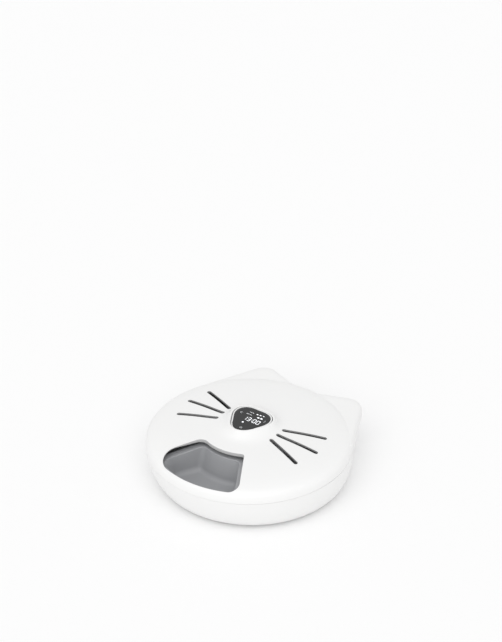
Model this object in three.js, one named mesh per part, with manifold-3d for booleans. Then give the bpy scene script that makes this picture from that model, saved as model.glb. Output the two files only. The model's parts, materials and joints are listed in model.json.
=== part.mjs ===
// A smart pet feeder for cats: a round bowl-shaped base with two ears, a hub that turns a grey
// tray of six food wells, two ice packs under the tray, and a white lid whose mouth opens over
// one well at a time. The display on the fixed centre post shows through the lid's nose.
// Millimetres, +Z up. The mouth faces -Y and the ears +Y. The feeder stands on Z = 0.
import * as THREE from "three";
import { mergeVertices } from "three/addons/utils/BufferGeometryUtils.js";
import Module from "manifold-3d";

const wasm = await Module();
wasm.setup();

// Fits shared by all pieces
const seat = 0.3;
const lidFit = 0.6;
const headFit = 0.4;
const overrun = 3;
const fullTurn = 360;
const halfTurn = 180;
const quarterTurn = 90;

// How many facets round shapes have
const discSteps = 40;
const hubSteps = 32;
const neckSteps = 30;
const hollowSteps = 20;
const smallSteps = 12;
const tinySteps = 8;
const cornerSteps = 3;
const outerArcAngle = 10;
const innerArcAngle = 15;

// The lid, base and tray share the disc of the feeder
const disc = { radius: 160, lipHeight: 61 };

// Ears: a round tip on a wedge that runs out into the disc
const ear = {
  azimuth: 63, tipRadius: 20, innerRoot: 77.5, tipOut: 17, anchorIn: 48,
  get tipCentre() { return disc.radius + this.tipOut; },
  get anchor() { return disc.radius - this.anchorIn; },
};
const earTipSteps = 6;

// Base shell
const base = {
  wall: 2.4,
  floorTop: 14,
  floorThickness: 2.5,
  underside: 2,
  lipRise: 2.3,
  lipThickness: 1.8,
  shelfDepth: 8,
  backShift: 7,
  coverInset: 34,
  coverLedge: 5.1,
  toeHeight: 5,
  get coverOpening() { return disc.radius - this.coverInset; },
};
const bowlSideShares = [[0.86, 0.033], [0.92, 0.08], [0.958, 0.27], [0.988, 0.56], [1, 0.962]];
const earReachShares = [[0.8, 0.07], [0.9, 0.24], [0.985, 0.66], [1, 0.962]];
const bowlShiftFoot = 11;

// Drum, its foot flange and the ledge inside it
const drum = {
  radius: 72,
  wall: 2.6,
  top: 56.5,
  flangeRadius: 79,
  flangeTop: 26.4,
  ledgeTop: 37,
  ledgeWidth: 6.4,
  ledgeThickness: 4,
};

// Floor rib that locates the ice packs, and the notches of the lip
const rib = { inner: 78, outer: 101, width: 1.2, height: 3 };
const lipNotch = { width: 11, count: 4 };
const lidTab = { depth: 1.6, height: 2.4 };

// Lid: heights above its rim
const lid = {
  wall: 2.2,
  shoulderHeight: 20,
  domeHeight: 29.3,
  noseHeight: 41,
  noseRadius: 32.6,
  noseRim: 2.4,
  flareRadius: 52,
  earHeight: 15.5,
};
const shoulderShares = [[1, 0], [0.996, 0.42], [0.975, 0.78], [0.931, 1]];
const domeShares = [[0.82, 0.42], [0.58, 0.84]];
const flareShares = [[1, 0], [0.6, 0.2], [0.22, 0.62], [0, 1]];
const earInsetShares = [[0, 0], [0.03, 0.55], [0.12, 0.87], [0.3, 1]];
const noseRipple = 3.5;
const noseShift = 1;

// Mouth of the lid, a window over one well
const mouth = {
  inner: 76, rimInset: 8, sideGap: 3.2, innerCorner: 9, outerCorner: 14,
  get outer() { return disc.radius - this.rimInset; },
};

// Whisker slots: ends across the face and towards the ears
const whisker = { width: 3 };
const whiskerEnds = {
  upperOuterX: 112.3, upperOuterY: 37.5, upperInnerX: 51.6, upperInnerY: 16.8,
  middleOuterX: 121.3, middleOuterY: 0.6, middleInnerX: 51.9, middleInnerY: 1.9,
  lowerOuterX: 112.1, lowerOuterY: -36.1, lowerInnerX: 51.4, lowerInnerY: -13.8,
};

// Tray with six wells; heights below its top face
const tray = {
  top: 74,
  holeRadius: 46,
  plate: 2.2,
  wall: 1.8,
  depth: 41,
  rimDrop: 8,
  rimInset: 11,
  widestInset: 8,
  skirtDepth: 36,
  get rimRadius() { return disc.radius - this.rimInset; },
  get widestRadius() { return disc.radius - this.widestInset; },
};
const wellCount = 6;
const well = {
  inner: 76.5, rimInset: 13.5, ribHalf: 6.5, floorDepth: 39, sideDraft: 2.5,
  innerCornerShare: 0.1286, outerCornerShare: 0.1857, innerDraftShare: 0.1357,
  outerDraftShare: 0.1643,
  get outer() { return disc.radius - this.rimInset; },
  get across() { return this.outer - this.inner; },
  get innerCorner() { return this.across * this.innerCornerShare; },
  get outerCorner() { return this.across * this.outerCornerShare; },
  get innerDraft() { return this.across * this.innerDraftShare; },
  get outerDraft() { return this.across * this.outerDraftShare; },
};
const wellLevelShares = [[0, 0], [0.88, 0.9], [1, 1.5]];
const traySideShares = [[1, 0], [0.985, 0.4], [0.93, 0.75], [0.84, 1]];

// Turntable under the tray, its six-sided boss and the key that keeps the tray in step
const turntable = {
  wall: 2.4,
  seam: 0.8,
  rimTop: 66,
  bossTop: 71.5,
  bossFoot: 70,
  bossCrown: 65.5,
  bore: 50,
};
// The key stops short of the ice packs, which lift out past it
const key = { azimuth: 60, width: 42, packGap: 0.6, thickness: 8.6, rootRadius: 55, fit: 0.6 };

// Gears: one module, three tooth counts
const gear = {
  module: 1.92, addendum: 0.85, dedendum: 1.1, width: 9, bottom: 45, rim: 2.4,
};
const toothRootShare = 0.33;
const toothTipShare = 0.13;
const ringTeeth = 60;
const idlerTeeth = 20;
const pinionTeeth = 10;
const idlerAzimuth = 90;
const teethToPinion = 6;

// Bearing ring, gearbox plate, axle and motor
const plate = { thickness: 3, fit: 0.4, screwCircle: 65.9, screwAzimuth: 20 };
const bearing = { inner: 57.5, outer: 61.8 };
const axle = { radius: 3, bossRadius: 6, top: 56 };
const shaft = { radius: 2, length: 20 };
const motor = { radius: 14, height: 26, noseRadius: 5, noseHeight: 2, screwSpacing: 17 };
const board = { thickness: 1.6, postLength: 9, postRadius: 2.6 };
const controlBoard = { left: -6, right: 52, front: 4, back: 38, holeInset: 4, column: 7 };
const sensor = { x: 0, y: -40, width: 16, depth: 8, height: 5 };
const buzzer = { x: 40, y: 14, radius: 6, height: 6 };

// Display pod on the fixed centre post
const pod = {
  postRadius: 15,
  postBore: 10.5,
  footRadius: 24,
  footThickness: 2.4,
  discRadius: 44.6,
  discBottom: 59,
  discTop: 75,
  neckRadius: 35,
  neckHeight: 78,
  top: 98.4,
  wall: 2.4,
  tilt: 4,
  outlineRadius: 31,
  screwCircle: 20,
};
const podNeckShares = [[1.14, 0], [1.0, 0.2], [0.97, 0.5], [1, 1]];
const podScrewCount = 3;
const glass = { thickness: 2, inset: 0.6, ledge: 2.6, boardThickness: 1.4 };

// Ice packs
const ice = {
  inner: 81.7, rimInset: 17.7, height: 14, halfSplit: 0.95, wall: 2.2, corner: 3,
  grooveInset: 9, grooveWidth: 1.8, grooveDepth: 1.1, plugRadius: 5,
  notchAzimuth: 50, notchRadius: 7,
  get outer() { return disc.radius - this.rimInset; },
};
const dimple = { radius: 4.6, stretch: 1.5, depth: 1.1, arm: 11, armWidth: 1.4 };
const dimpleAzimuths = [68, 15, -38];

// Underside: cover, feet, screws
const cover = { thickness: 2.5, fit: 0.4 };
const foot = {
  radius: 9, height: 3.2, recess: 1.3, rimInset: 54, fit: 0.4,
  get circle() { return disc.radius - this.rimInset; },
};
const footCount = 4;
const coverBoss = {
  rimInset: 48, radius: 5, azimuth: 45,
  get circle() { return disc.radius - this.rimInset; },
};
const screw = { headRadius: 2.4, headHeight: 1.6, shankRadius: 1.3, holeRadius: 1.65, length: 8 };

// Battery box, cells and the door below them
const cell = { radius: 7.2, length: 49, nubRadius: 2.7, nubLength: 1.4, pitch: 15 };
const cellCount = 4;
const contact = { thickness: 0.5, height: 11, width: 50 };
const box = {
  wall: 1.6, middle: -27.75, endGap: 0.55, roof: 23.4,
  get half() {
    const ends = this.wall + seat + contact.thickness + this.endGap;
    return ends + (cell.length + cell.nubLength) / 2;
  },
  get front() { return this.middle - this.half; },
  get back() { return this.middle + this.half; },
};
const door = {
  thickness: 2.1, knuckleRadius: 1.7, pinRadius: 0.9, pinLength: 2, axisOut: 2.1, axisZ: 3.9,
  backOut: 1.6, halfWidth: 32, tongueHeight: 5, tongueThickness: 1.2, tongueWidth: 14,
  get axisY() { return box.front - this.axisOut; },
  get back() { return box.back + this.backOut; },
};
const doorPad = { length: 5, height: 4.4 };

// Power inlet at the back of the base
const inlet = {
  width: 9, height: 3.3, depth: 7.4, centreHeight: 8, corner: 1.4, wall: 0.5, fit: 0.5,
  recess: 0.6, boardWidth: 16, boardDepth: 14,
};

// Cables that stay inside
const cable = { radius: 1.4 };
const cableSides = 8;

// Angles in degrees, points of plane outlines
const radians = (degrees) => THREE.MathUtils.degToRad(degrees);
const cosine = (degrees) => Math.cos(radians(degrees));
const sine = (degrees) => Math.sin(radians(degrees));
const polar = (radius, azimuth) => new THREE.Vector2(radius * cosine(azimuth), radius * sine(azimuth));
const azimuthOf = (point) => THREE.MathUtils.radToDeg(Math.atan2(point.y, point.x));

function arc(centre, radius, from, to, steps) {
  return Array.from({ length: steps + 1 }, (_, i) =>
    polar(radius, from + (to - from) * i / steps).add(centre));
}

function circle(radius, steps, centreY = 0) {
  return arc(new THREE.Vector2(0, centreY), radius, 0, fullTurn, steps).slice(0, steps);
}

const turnedOutline = (points, azimuth) =>
  points.map((point) => point.clone().rotateAround(new THREE.Vector2(0, 0), radians(azimuth)));

const mirroredOutline = (points) =>
  points.map((point) => new THREE.Vector2(-point.x, point.y)).reverse();

// Outline of a part of a ring about +X, with straight sides beside the two edge lines and
// four round corners.
function sector({ inner, outer, sideGap, innerCorner, outerCorner }, halfAngle) {
  const along = polar(1, halfAngle);
  const across = polar(1, halfAngle + quarterTurn);
  const cornerCentre = (radius, corner) => {
    const offset = sideGap + corner;
    const reach = Math.sqrt(radius ** 2 - offset ** 2);
    return along.clone().multiplyScalar(reach).addScaledVector(across, -offset);
  };
  const outerCentre = cornerCentre(outer - outerCorner, outerCorner);
  const innerCentre = cornerCentre(inner + innerCorner, innerCorner);
  const origin = new THREE.Vector2(0, 0);
  const half = [
    ...arc(origin, outer, 0, azimuthOf(outerCentre), halfAngle / outerArcAngle),
    ...arc(outerCentre, outerCorner, azimuthOf(outerCentre), halfAngle + quarterTurn, cornerSteps)
      .slice(1),
    ...arc(innerCentre, innerCorner, halfAngle + quarterTurn, azimuthOf(innerCentre) + halfTurn,
      cornerSteps),
    ...arc(origin, inner, azimuthOf(innerCentre), 0, halfAngle / innerArcAngle).slice(1),
  ];
  const other = half.slice(1, -1).map((point) => new THREE.Vector2(point.x, -point.y)).reverse();
  return [...half, ...other];
}

// Rounded triangle of the display and the nose, a corner towards -Y
function noseOutline(radius, rippleShare, steps) {
  return Array.from({ length: steps }, (_, i) => {
    const azimuth = fullTurn * i / steps;
    const swell = noseRipple * rippleShare * Math.cos(3 * radians(azimuth + quarterTurn));
    return polar(radius + swell, azimuth).add(new THREE.Vector2(0, noseShift * rippleShare));
  });
}

// Solids
function outward(geometry) {
  const { array } = geometry.attributes.position;
  const index = geometry.index.array;
  const corners = [new THREE.Vector3(), new THREE.Vector3(), new THREE.Vector3()];
  let volume = 0;
  for (let i = 0; i < index.length; i += 3) {
    corners.forEach((corner, k) => corner.fromArray(array, 3 * index[i + k]));
    volume += corners[0].dot(corners[1].clone().cross(corners[2]));
  }
  if (volume < 0) {
    for (let i = 0; i < index.length; i += 3) {
      [index[i], index[i + 1]] = [index[i + 1], index[i]];
    }
  }
  return geometry;
}

function solid(geometry) {
  geometry.deleteAttribute("normal");
  geometry.deleteAttribute("uv");
  const merged = outward(mergeVertices(geometry));
  return new wasm.Manifold(new wasm.Mesh({
    numProp: 3,
    vertProperties: new Float32Array(merged.attributes.position.array),
    triVerts: new Uint32Array(merged.index.array),
  }));
}

const joined = (...solids) => solids.reduce((all, next) => all.add(next));
const cut = (body, ...tools) => tools.reduce((left, tool) => left.subtract(tool), body);

function turned(profile, steps, x = 0, y = 0) {
  const points = profile.map(([radius, height]) => new THREE.Vector2(radius, height));
  return solid(new THREE.LatheGeometry(points, steps).rotateX(Math.PI / 2).translate(x, y, 0));
}

const closedProfile = (profile) => [...profile, profile[0]];

function cylinder(radius, low, high, steps, x = 0, y = 0) {
  return turned([[0, low], [radius, low], [radius, high], [0, high]], steps, x, y);
}

function tube(inner, outer, low, high, steps, x = 0, y = 0) {
  return turned(closedProfile([[inner, low], [outer, low], [outer, high], [inner, high]]),
    steps, x, y);
}

function extruded(outline, low, high) {
  const options = { depth: high - low, bevelEnabled: false };
  return solid(new THREE.ExtrudeGeometry(new THREE.Shape(outline), options).translate(0, 0, low));
}

function block(left, right, front, back, low, high) {
  const geometry = new THREE.BoxGeometry(right - left, back - front, high - low);
  return solid(geometry.translate((left + right) / 2, (front + back) / 2, (low + high) / 2));
}

// Skin through rings of equal count: capped at both ends, or closed on itself
function skinned(rings, closesOnItself = false) {
  const count = rings[0].length;
  const positions = rings.flat().flatMap((point) => [point.x, point.y, point.z]);
  const index = [];
  const bands = closesOnItself ? rings.length : rings.length - 1;
  for (let band = 0; band < bands; band += 1) {
    const low = band * count;
    const high = ((band + 1) % rings.length) * count;
    for (let i = 0; i < count; i += 1) {
      const next = (i + 1) % count;
      index.push(low + i, low + next, high + next, low + i, high + next, high + i);
    }
  }
  if (!closesOnItself) {
    const last = (rings.length - 1) * count;
    THREE.ShapeUtils.triangulateShape(rings[0], []).forEach(([a, b, c]) => index.push(a, c, b));
    THREE.ShapeUtils.triangulateShape(rings.at(-1), [])
      .forEach(([a, b, c]) => index.push(last + a, last + b, last + c));
  }
  const geometry = new THREE.BufferGeometry();
  geometry.setAttribute("position", new THREE.Float32BufferAttribute(positions, 3));
  geometry.setIndex(index);
  return solid(geometry);
}

const atHeight = (outline, height) =>
  outline.map((point) => new THREE.Vector3(point.x, point.y, height));

function tiltedCylinder(radius, from, to, steps) {
  const start = new THREE.Vector3(...from);
  const axis = new THREE.Vector3(...to).sub(start);
  const geometry = new THREE.CylinderGeometry(radius, radius, axis.length(), steps);
  const turn = new THREE.Quaternion()
    .setFromUnitVectors(new THREE.Vector3(0, 1, 0), axis.clone().normalize());
  return solid(geometry.applyQuaternion(turn)
    .translate(...start.addScaledVector(axis, 1 / 2).toArray()));
}

// Outline of one ear: from the disc's tangent round the tip to the inner root
function earOutline(discRadius) {
  const tip = polar(ear.tipCentre, ear.azimuth);
  const slack = Math.acos((discRadius - ear.tipRadius) / ear.tipCentre);
  const tangent = ear.azimuth - THREE.MathUtils.radToDeg(slack);
  const root = polar(discRadius, ear.innerRoot);
  const toRoot = root.clone().sub(tip);
  const swing = THREE.MathUtils.radToDeg(Math.acos(ear.tipRadius / toRoot.length()));
  const leave = THREE.MathUtils.euclideanModulo(azimuthOf(toRoot) - swing, fullTurn);
  return [
    polar(discRadius, tangent),
    ...arc(tip, ear.tipRadius, tangent, leave, earTipSteps),
    root,
    polar(ear.anchor, ear.innerRoot),
    polar(ear.anchor, tangent),
  ];
}

// The same outline drawn in towards a point on the disc
function drawnIn(outline, share) {
  const anchor = polar(ear.anchor, ear.azimuth);
  return outline.map((point) => point.clone().lerp(anchor, share));
}

const earShare = (length) => length / (ear.tipCentre + ear.tipRadius - ear.anchor);

const bothSides = (rings) => [
  skinned(rings),
  skinned(rings.map((ring) => ring.map((p) => new THREE.Vector3(-p.x, p.y, p.z)).reverse())),
];

// Base shell: a bowl whose foot lies a little further back than its lip
const lipOuter = disc.radius - lid.wall - lidFit;
const lipInner = lipOuter - base.lipThickness;
const lipStep = disc.lipHeight - base.lipRise;
const floorUnder = base.floorTop - base.floorThickness;
const shiftAt = (height) => base.backShift
  * Math.min(1, Math.max(0, (disc.lipHeight - height) / (disc.lipHeight - bowlShiftFoot)));

function bowlRadiusAt(height) {
  const rows = bowlSideShares.map(([radius, rise]) =>
    [radius * disc.radius, rise * disc.lipHeight]);
  const above = rows.findIndex(([, rise]) => rise >= height);
  if (above < 0) {
    return disc.radius;
  }
  if (above === 0) {
    return rows[0][0];
  }
  const [lowRadius, lowRise] = rows[above - 1];
  const [highRadius, highRise] = rows[above];
  return lowRadius + (highRadius - lowRadius) * (height - lowRise) / (highRise - lowRise);
}

function bowlSection(height, inset) {
  return atHeight(circle(bowlRadiusAt(height) - inset, discSteps, shiftAt(height)), height);
}

function earSolids(inset, low, high) {
  const outline = earOutline(disc.radius);
  const rows = earReachShares.map(([reach, rise]) => [1 - reach, rise * disc.lipHeight]);
  const rings = rows.filter(([, rise]) => rise > low && rise < high);
  const shareAt = (height) => {
    const above = rows.findIndex(([, rise]) => rise >= height);
    if (above < 0) {
      return rows.at(-1)[0];
    }
    if (above === 0) {
      return rows[0][0];
    }
    const [lowShare, lowRise] = rows[above - 1];
    const [highShare, highRise] = rows[above];
    return lowShare + (highShare - lowShare) * (height - lowRise) / (highRise - lowRise);
  };
  const fullReach = (ear.tipCentre + ear.tipRadius) / (ear.tipCentre + ear.tipRadius - ear.anchor);
  const levels = [[shareAt(low), low], ...rings, [shareAt(high), high]];
  return bothSides(levels.map(([share, height]) =>
    atHeight(drawnIn(outline, share * fullReach + earShare(inset)), height)));
}

function baseShell() {
  const levels = bowlSideShares.map(([, rise]) => rise * disc.lipHeight);
  const sides = levels.slice(0, -1).map((height) => bowlSection(height, 0));
  const outer = skinned([
    atHeight(circle(bowlRadiusAt(0), discSteps, base.backShift), base.underside),
    ...sides.slice(1),
    atHeight(circle(disc.radius, discSteps), lipStep),
  ]);
  const lip = cylinder(lipOuter, lipStep - overrun, disc.lipHeight, discSteps);
  const inside = skinned([
    bowlSection(base.floorTop, base.wall),
    ...levels.filter((height) => height > base.floorTop + overrun && height < lipStep - overrun)
      .map((height) => bowlSection(height, base.wall)),
    atHeight(circle(lipInner, discSteps), lipStep - overrun),
    atHeight(circle(lipInner, discSteps), disc.lipHeight + overrun),
  ]);
  const wallOutside = skinned([
    bowlSection(floorUnder, 0),
    ...levels.filter((height) => height > floorUnder + overrun && height < lipStep - overrun)
      .map((height) => bowlSection(height, 0)),
    atHeight(circle(disc.radius, discSteps), disc.lipHeight),
  ]);
  const under = skinned([
    atHeight(circle(base.coverOpening, discSteps), base.underside - overrun),
    atHeight(circle(base.coverOpening, discSteps), base.coverLedge),
    bowlSection(base.coverLedge + seat, base.wall),
    bowlSection(floorUnder, base.wall),
  ]);
  const shelf = disc.lipHeight - base.shelfDepth;
  const cores = earSolids(base.wall, base.toeHeight, shelf - base.wall)
    .map((core) => cut(core, wallOutside));
  const pockets = earSolids(base.wall, shelf, lipStep + overrun)
    .map((pocket) => cut(pocket, wallOutside));
  const ears = earSolids(0, earReachShares[0][1] * disc.lipHeight, lipStep);
  const shell = cut(joined(outer, lip, ...ears), inside, under, ...cores, ...pockets);
  const bosses = Array.from({ length: footCount }, (_, i) => {
    const place = polar(coverBoss.circle, coverBoss.azimuth + i * quarterTurn);
    return cylinder(coverBoss.radius, base.coverLedge, floorUnder + seat, smallSteps,
      place.x, place.y);
  });
  const drumBore = drum.radius - drum.wall;
  const body = joined(shell, drumSolid(), ribSolid(), ...bosses);
  const bore = turned([[0, floorUnder - overrun],
    [drum.flangeRadius - drum.wall, floorUnder - overrun],
    [drum.flangeRadius - drum.wall, drum.flangeTop - drum.wall],
    [drumBore, drum.flangeTop - drum.wall],
    [drumBore, drum.ledgeTop - drum.ledgeThickness - drum.ledgeWidth],
    [drumBore - drum.ledgeWidth, drum.ledgeTop - drum.ledgeThickness],
    [drumBore - drum.ledgeWidth, drum.ledgeTop],
    [drumBore, drum.ledgeTop],
    [drumBore, drum.top + overrun],
    [0, drum.top + overrun]], hubSteps);
  return cut(body, bore, ...lipNotches(), ...coverScrewHoles(), ...plateScrewHoles(), inletHole());
}

function drumSolid() {
  const chamfer = drum.wall / 2;
  return turned([[0, floorUnder], [drum.flangeRadius, floorUnder],
    [drum.flangeRadius, drum.flangeTop - chamfer], [drum.flangeRadius - chamfer, drum.flangeTop],
    [drum.radius + chamfer, drum.flangeTop], [drum.radius, drum.flangeTop + chamfer],
    [drum.radius, drum.top], [0, drum.top]], hubSteps);
}

const ribSolid = () => block(-rib.width / 2, rib.width / 2, -rib.outer, -rib.inner,
  base.floorTop - base.floorThickness / 2, base.floorTop + rib.height);

function lipNotches() {
  return Array.from({ length: lipNotch.count }, (_, i) => {
    const outline = [
      new THREE.Vector2(lipInner - overrun, -lipNotch.width / 2),
      new THREE.Vector2(disc.radius + overrun, -lipNotch.width / 2),
      new THREE.Vector2(disc.radius + overrun, lipNotch.width / 2),
      new THREE.Vector2(lipInner - overrun, lipNotch.width / 2),
    ];
    const turn = fullTurn * i / lipNotch.count;
    return extruded(turnedOutline(outline, turn), lipStep, disc.lipHeight + overrun);
  });
}

function coverScrewHoles() {
  return Array.from({ length: footCount }, (_, i) => {
    const place = polar(coverBoss.circle, coverBoss.azimuth + i * quarterTurn);
    return cylinder(screw.holeRadius, base.coverLedge - overrun,
      base.underside + seat + screw.length + seat, tinySteps, place.x, place.y);
  });
}

const plateScrewPlaces = () => Array.from({ length: podScrewCount }, (_, i) =>
  polar(plate.screwCircle, plate.screwAzimuth + fullTurn * i / podScrewCount));

function plateScrewHoles() {
  const depth = drum.ledgeThickness + drum.ledgeWidth;
  return plateScrewPlaces().map((place) => cylinder(screw.holeRadius, drum.ledgeTop - depth,
    drum.ledgeTop + overrun, tinySteps, place.x, place.y));
}

// Lid
const lidRim = lipStep + seat;
const lidInnerSkips = [2, 4, 8];

function lidRings() {
  const shoulder = lid.shoulderHeight;
  const rise = lid.domeHeight - shoulder;
  const flare = lid.noseHeight - lid.domeHeight;
  const noseOuter = lid.noseRadius + lid.noseRim;
  const rows = [
    ...shoulderShares.map(([radius, height]) => [radius * disc.radius, height * shoulder, 0]),
    ...domeShares.map(([radius, height]) => [radius * disc.radius, shoulder + height * rise, 0]),
    ...flareShares.map(([out, height]) => [noseOuter + out * (lid.flareRadius - noseOuter),
      lid.domeHeight + height * flare, 1 - out]),
  ];
  const offset = rows.map(([radius, height, ripple], i) => {
    const [before, after] = [rows[Math.max(0, i - 1)], rows[Math.min(rows.length - 1, i + 1)]];
    const slope = new THREE.Vector2(after[0] - before[0], after[1] - before[1]).normalize();
    return [radius - slope.y * lid.wall, Math.max(0, height + slope.x * lid.wall), ripple];
  });
  offset[0] = [disc.radius - lid.wall, 0, 0];
  offset[offset.length - 1] = [lid.noseRadius, lid.noseHeight, 1];
  const inner = offset.filter((_, i) => !lidInnerSkips.includes(i));
  return [...rows, ...inner.reverse()].map(([radius, height, ripple]) =>
    atHeight(noseOutline(radius, ripple, discSteps), lidRim + height));
}

function lidEars(inset, height) {
  const outline = drawnIn(earOutline(disc.radius), earShare(inset));
  const rows = earInsetShares.map(([share, rise]) =>
    atHeight(drawnIn(outline, share), lidRim + rise * height));
  return bothSides(inset > 0 ? [atHeight(outline, lidRim - overrun), ...rows] : rows);
}

function whiskerCuts() {
  const ends = [
    [whiskerEnds.upperOuterX, whiskerEnds.upperOuterY, whiskerEnds.upperInnerX,
      whiskerEnds.upperInnerY],
    [whiskerEnds.middleOuterX, whiskerEnds.middleOuterY, whiskerEnds.middleInnerX,
      whiskerEnds.middleInnerY],
    [whiskerEnds.lowerOuterX, whiskerEnds.lowerOuterY, whiskerEnds.lowerInnerX,
      whiskerEnds.lowerInnerY],
  ];
  return ends.flatMap(([outerX, outerY, innerX, innerY]) => {
    const from = new THREE.Vector2(innerX, innerY);
    const to = new THREE.Vector2(outerX, outerY);
    const heading = azimuthOf(to.clone().sub(from));
    const outline = [
      ...arc(to, whisker.width / 2, heading - quarterTurn, heading + quarterTurn, cornerSteps),
      ...arc(from, whisker.width / 2, heading + quarterTurn, heading + halfTurn + quarterTurn,
        cornerSteps),
    ];
    return [outline, mirroredOutline(outline)].map((side) =>
      extruded(side, lidRim + lid.shoulderHeight / 2, lidRim + lid.noseHeight));
  });
}

function lidTabs() {
  return Array.from({ length: lipNotch.count }, (_, i) => {
    const inner = disc.radius - lid.wall - lidTab.depth;
    const halfWidth = lipNotch.width / 2 - seat;
    const outline = [
      new THREE.Vector2(inner, -halfWidth),
      new THREE.Vector2(disc.radius - lid.wall / 2, -halfWidth),
      new THREE.Vector2(disc.radius - lid.wall / 2, halfWidth),
      new THREE.Vector2(inner, halfWidth),
    ];
    return extruded(turnedOutline(outline, fullTurn * i / lipNotch.count), lidRim,
      lidRim + lidTab.height);
  });
}

function lidShell() {
  const shape = turnedOutline(sector(mouth, halfTurn / wellCount), -quarterTurn);
  const window = extruded(shape, lidRim - overrun, lidRim + lid.noseHeight);
  const under = turned([[0, lidRim - overrun], [disc.radius - lid.wall, lidRim - overrun],
    [disc.radius - lid.wall, lidRim], ...shoulderShares.slice(1).map(([radius, height]) =>
      [radius * disc.radius - lid.wall, lidRim + height * lid.shoulderHeight - lid.wall / 2]),
    [0, lidRim + lid.shoulderHeight - lid.wall / 2]], discSteps);
  const ears = lidEars(0, lid.earHeight).map((outer) => cut(outer, under));
  const hollows = lidEars(lid.wall, lid.earHeight - lid.wall);
  const shell = cut(joined(skinned(lidRings(), true), ...ears), ...hollows);
  return cut(joined(shell, ...lidTabs()), window, ...whiskerCuts());
}

// Tray
const wellAzimuths = Array.from({ length: wellCount }, (_, i) => fullTurn * i / wellCount - quarterTurn);

function wellSolid(azimuth, grow, floorDepth, rise) {
  const levels = wellLevelShares.map(([depth, draft]) => {
    const shape = {
      inner: well.inner + well.innerDraft * draft - grow,
      outer: well.outer - well.outerDraft * draft + grow,
      sideGap: well.ribHalf + well.sideDraft * draft - grow,
      innerCorner: well.innerCorner + grow,
      outerCorner: well.outerCorner + grow,
    };
    return atHeight(turnedOutline(sector(shape, halfTurn / wellCount), azimuth),
      tray.top + rise - depth * (floorDepth + rise));
  });
  return skinned(levels.reverse());
}

function keyOutline(grow) {
  const half = key.width / 2 + grow;
  const tipCentre = new THREE.Vector2(ice.inner - key.packGap - key.width / 2, 0);
  return turnedOutline([
    new THREE.Vector2(key.rootRadius - grow, -half),
    ...arc(tipCentre, half, -quarterTurn, quarterTurn, smallSteps),
    new THREE.Vector2(key.rootRadius - grow, half),
  ], key.azimuth);
}

function trayProfile(inset, drop) {
  const side = traySideShares.map(([radius, depth]) => [radius * tray.widestRadius - inset,
    tray.top - tray.rimDrop - tray.plate - depth * (tray.depth - tray.rimDrop - tray.plate)]);
  return [[0, tray.top - drop], [well.inner, tray.top - drop],
    [tray.rimRadius - inset, tray.top - tray.rimDrop - drop], ...side.slice(drop > 0 ? 1 : 0)];
}

function foodTray() {
  const bottom = tray.top - tray.depth;
  const full = turned([...trayProfile(0, 0), [0, bottom]], discSteps);
  const core = turned([...trayProfile(tray.wall / 2, tray.plate / 2), [0, bottom]], discSteps);
  const inset = trayProfile(tray.wall, tray.plate)
    .filter(([, height]) => height > tray.top - tray.skirtDepth);
  const under = turned([...inset, [inset.at(-1)[0], bottom - overrun], [0, bottom - overrun]],
    discSteps);
  const shell = cut(full, under);
  const rim = cut(shell, cylinder(tray.widestRadius + overrun, bottom - overrun,
    tray.top - tray.skirtDepth, discSteps));
  const pods = wellAzimuths.map((azimuth) =>
    wellSolid(azimuth, tray.wall, tray.depth, 0).intersect(core));
  const wells = wellAzimuths.map((azimuth) => wellSolid(azimuth, 0, well.floorDepth, overrun));
  const keyTop = turntable.rimTop + key.fit;
  const guard = extruded(keyOutline(key.fit + tray.wall), bottom, keyTop + tray.wall);
  const channel = extruded(keyOutline(key.fit), bottom - overrun, keyTop);
  const body = cut(joined(rim, ...pods), ...wells.map((hollow) => cut(hollow, guard)));
  return cut(body, channel, cylinder(tray.holeRadius, bottom, tray.top + overrun, hubSteps));
}

// Turntable
const hexagon = (radius, turn) => Array.from({ length: 6 }, (_, i) => polar(radius, 60 * i + turn));

function turntableSolid() {
  const low = drum.top + turntable.seam;
  const inside = turntable.wall;
  const collar = joined(
    tube(turntable.bore, drum.radius, turntable.rimTop - inside, turntable.rimTop, hubSteps),
    tube(drum.radius - inside, drum.radius, low, turntable.rimTop, hubSteps),
    extruded(keyOutline(0), turntable.rimTop - key.thickness, turntable.rimTop)
      .subtract(cylinder(drum.radius - inside, low, turntable.rimTop, hubSteps)),
  );
  const boss = skinned([
    atHeight(hexagon(turntable.bossFoot, 0), turntable.rimTop - inside / 2),
    atHeight(hexagon(turntable.bossFoot, 0), turntable.rimTop),
    atHeight(hexagon(turntable.bossCrown, 0), turntable.bossTop),
  ]);
  const hollow = skinned([
    atHeight(hexagon(turntable.bossFoot - 2 * inside, 0), turntable.rimTop - 2 * inside),
    atHeight(hexagon(turntable.bossCrown - inside, 0), turntable.bossTop - inside),
  ]);
  const bore = cylinder(turntable.bore, low, turntable.bossTop + overrun, hubSteps);
  return cut(joined(collar, boss), hollow, bore);
}

// Gears
function gearOutline(teeth, phase, pointsIn) {
  const pitch = gear.module * teeth / 2;
  const sign = pointsIn ? -1 : 1;
  const tip = pitch + sign * gear.addendum * gear.module;
  const root = pitch - sign * gear.dedendum * gear.module;
  const step = fullTurn / teeth;
  return Array.from({ length: teeth }, (_, i) => phase + i * step).flatMap((centre) => [
    polar(root, centre - toothRootShare * step),
    polar(tip, centre - toothTipShare * step),
    polar(tip, centre + toothTipShare * step),
    polar(root, centre + toothRootShare * step),
  ]);
}

const pitchRadius = (teeth) => gear.module * teeth / 2;
const gearTop = gear.bottom + gear.width;
const idlerPlace = polar(pitchRadius(ringTeeth) - pitchRadius(idlerTeeth), idlerAzimuth);
const pinionBearing = idlerAzimuth + teethToPinion * fullTurn / idlerTeeth;
const pinionPlace = polar(pitchRadius(idlerTeeth) + pitchRadius(pinionTeeth), pinionBearing)
  .add(idlerPlace);

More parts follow.
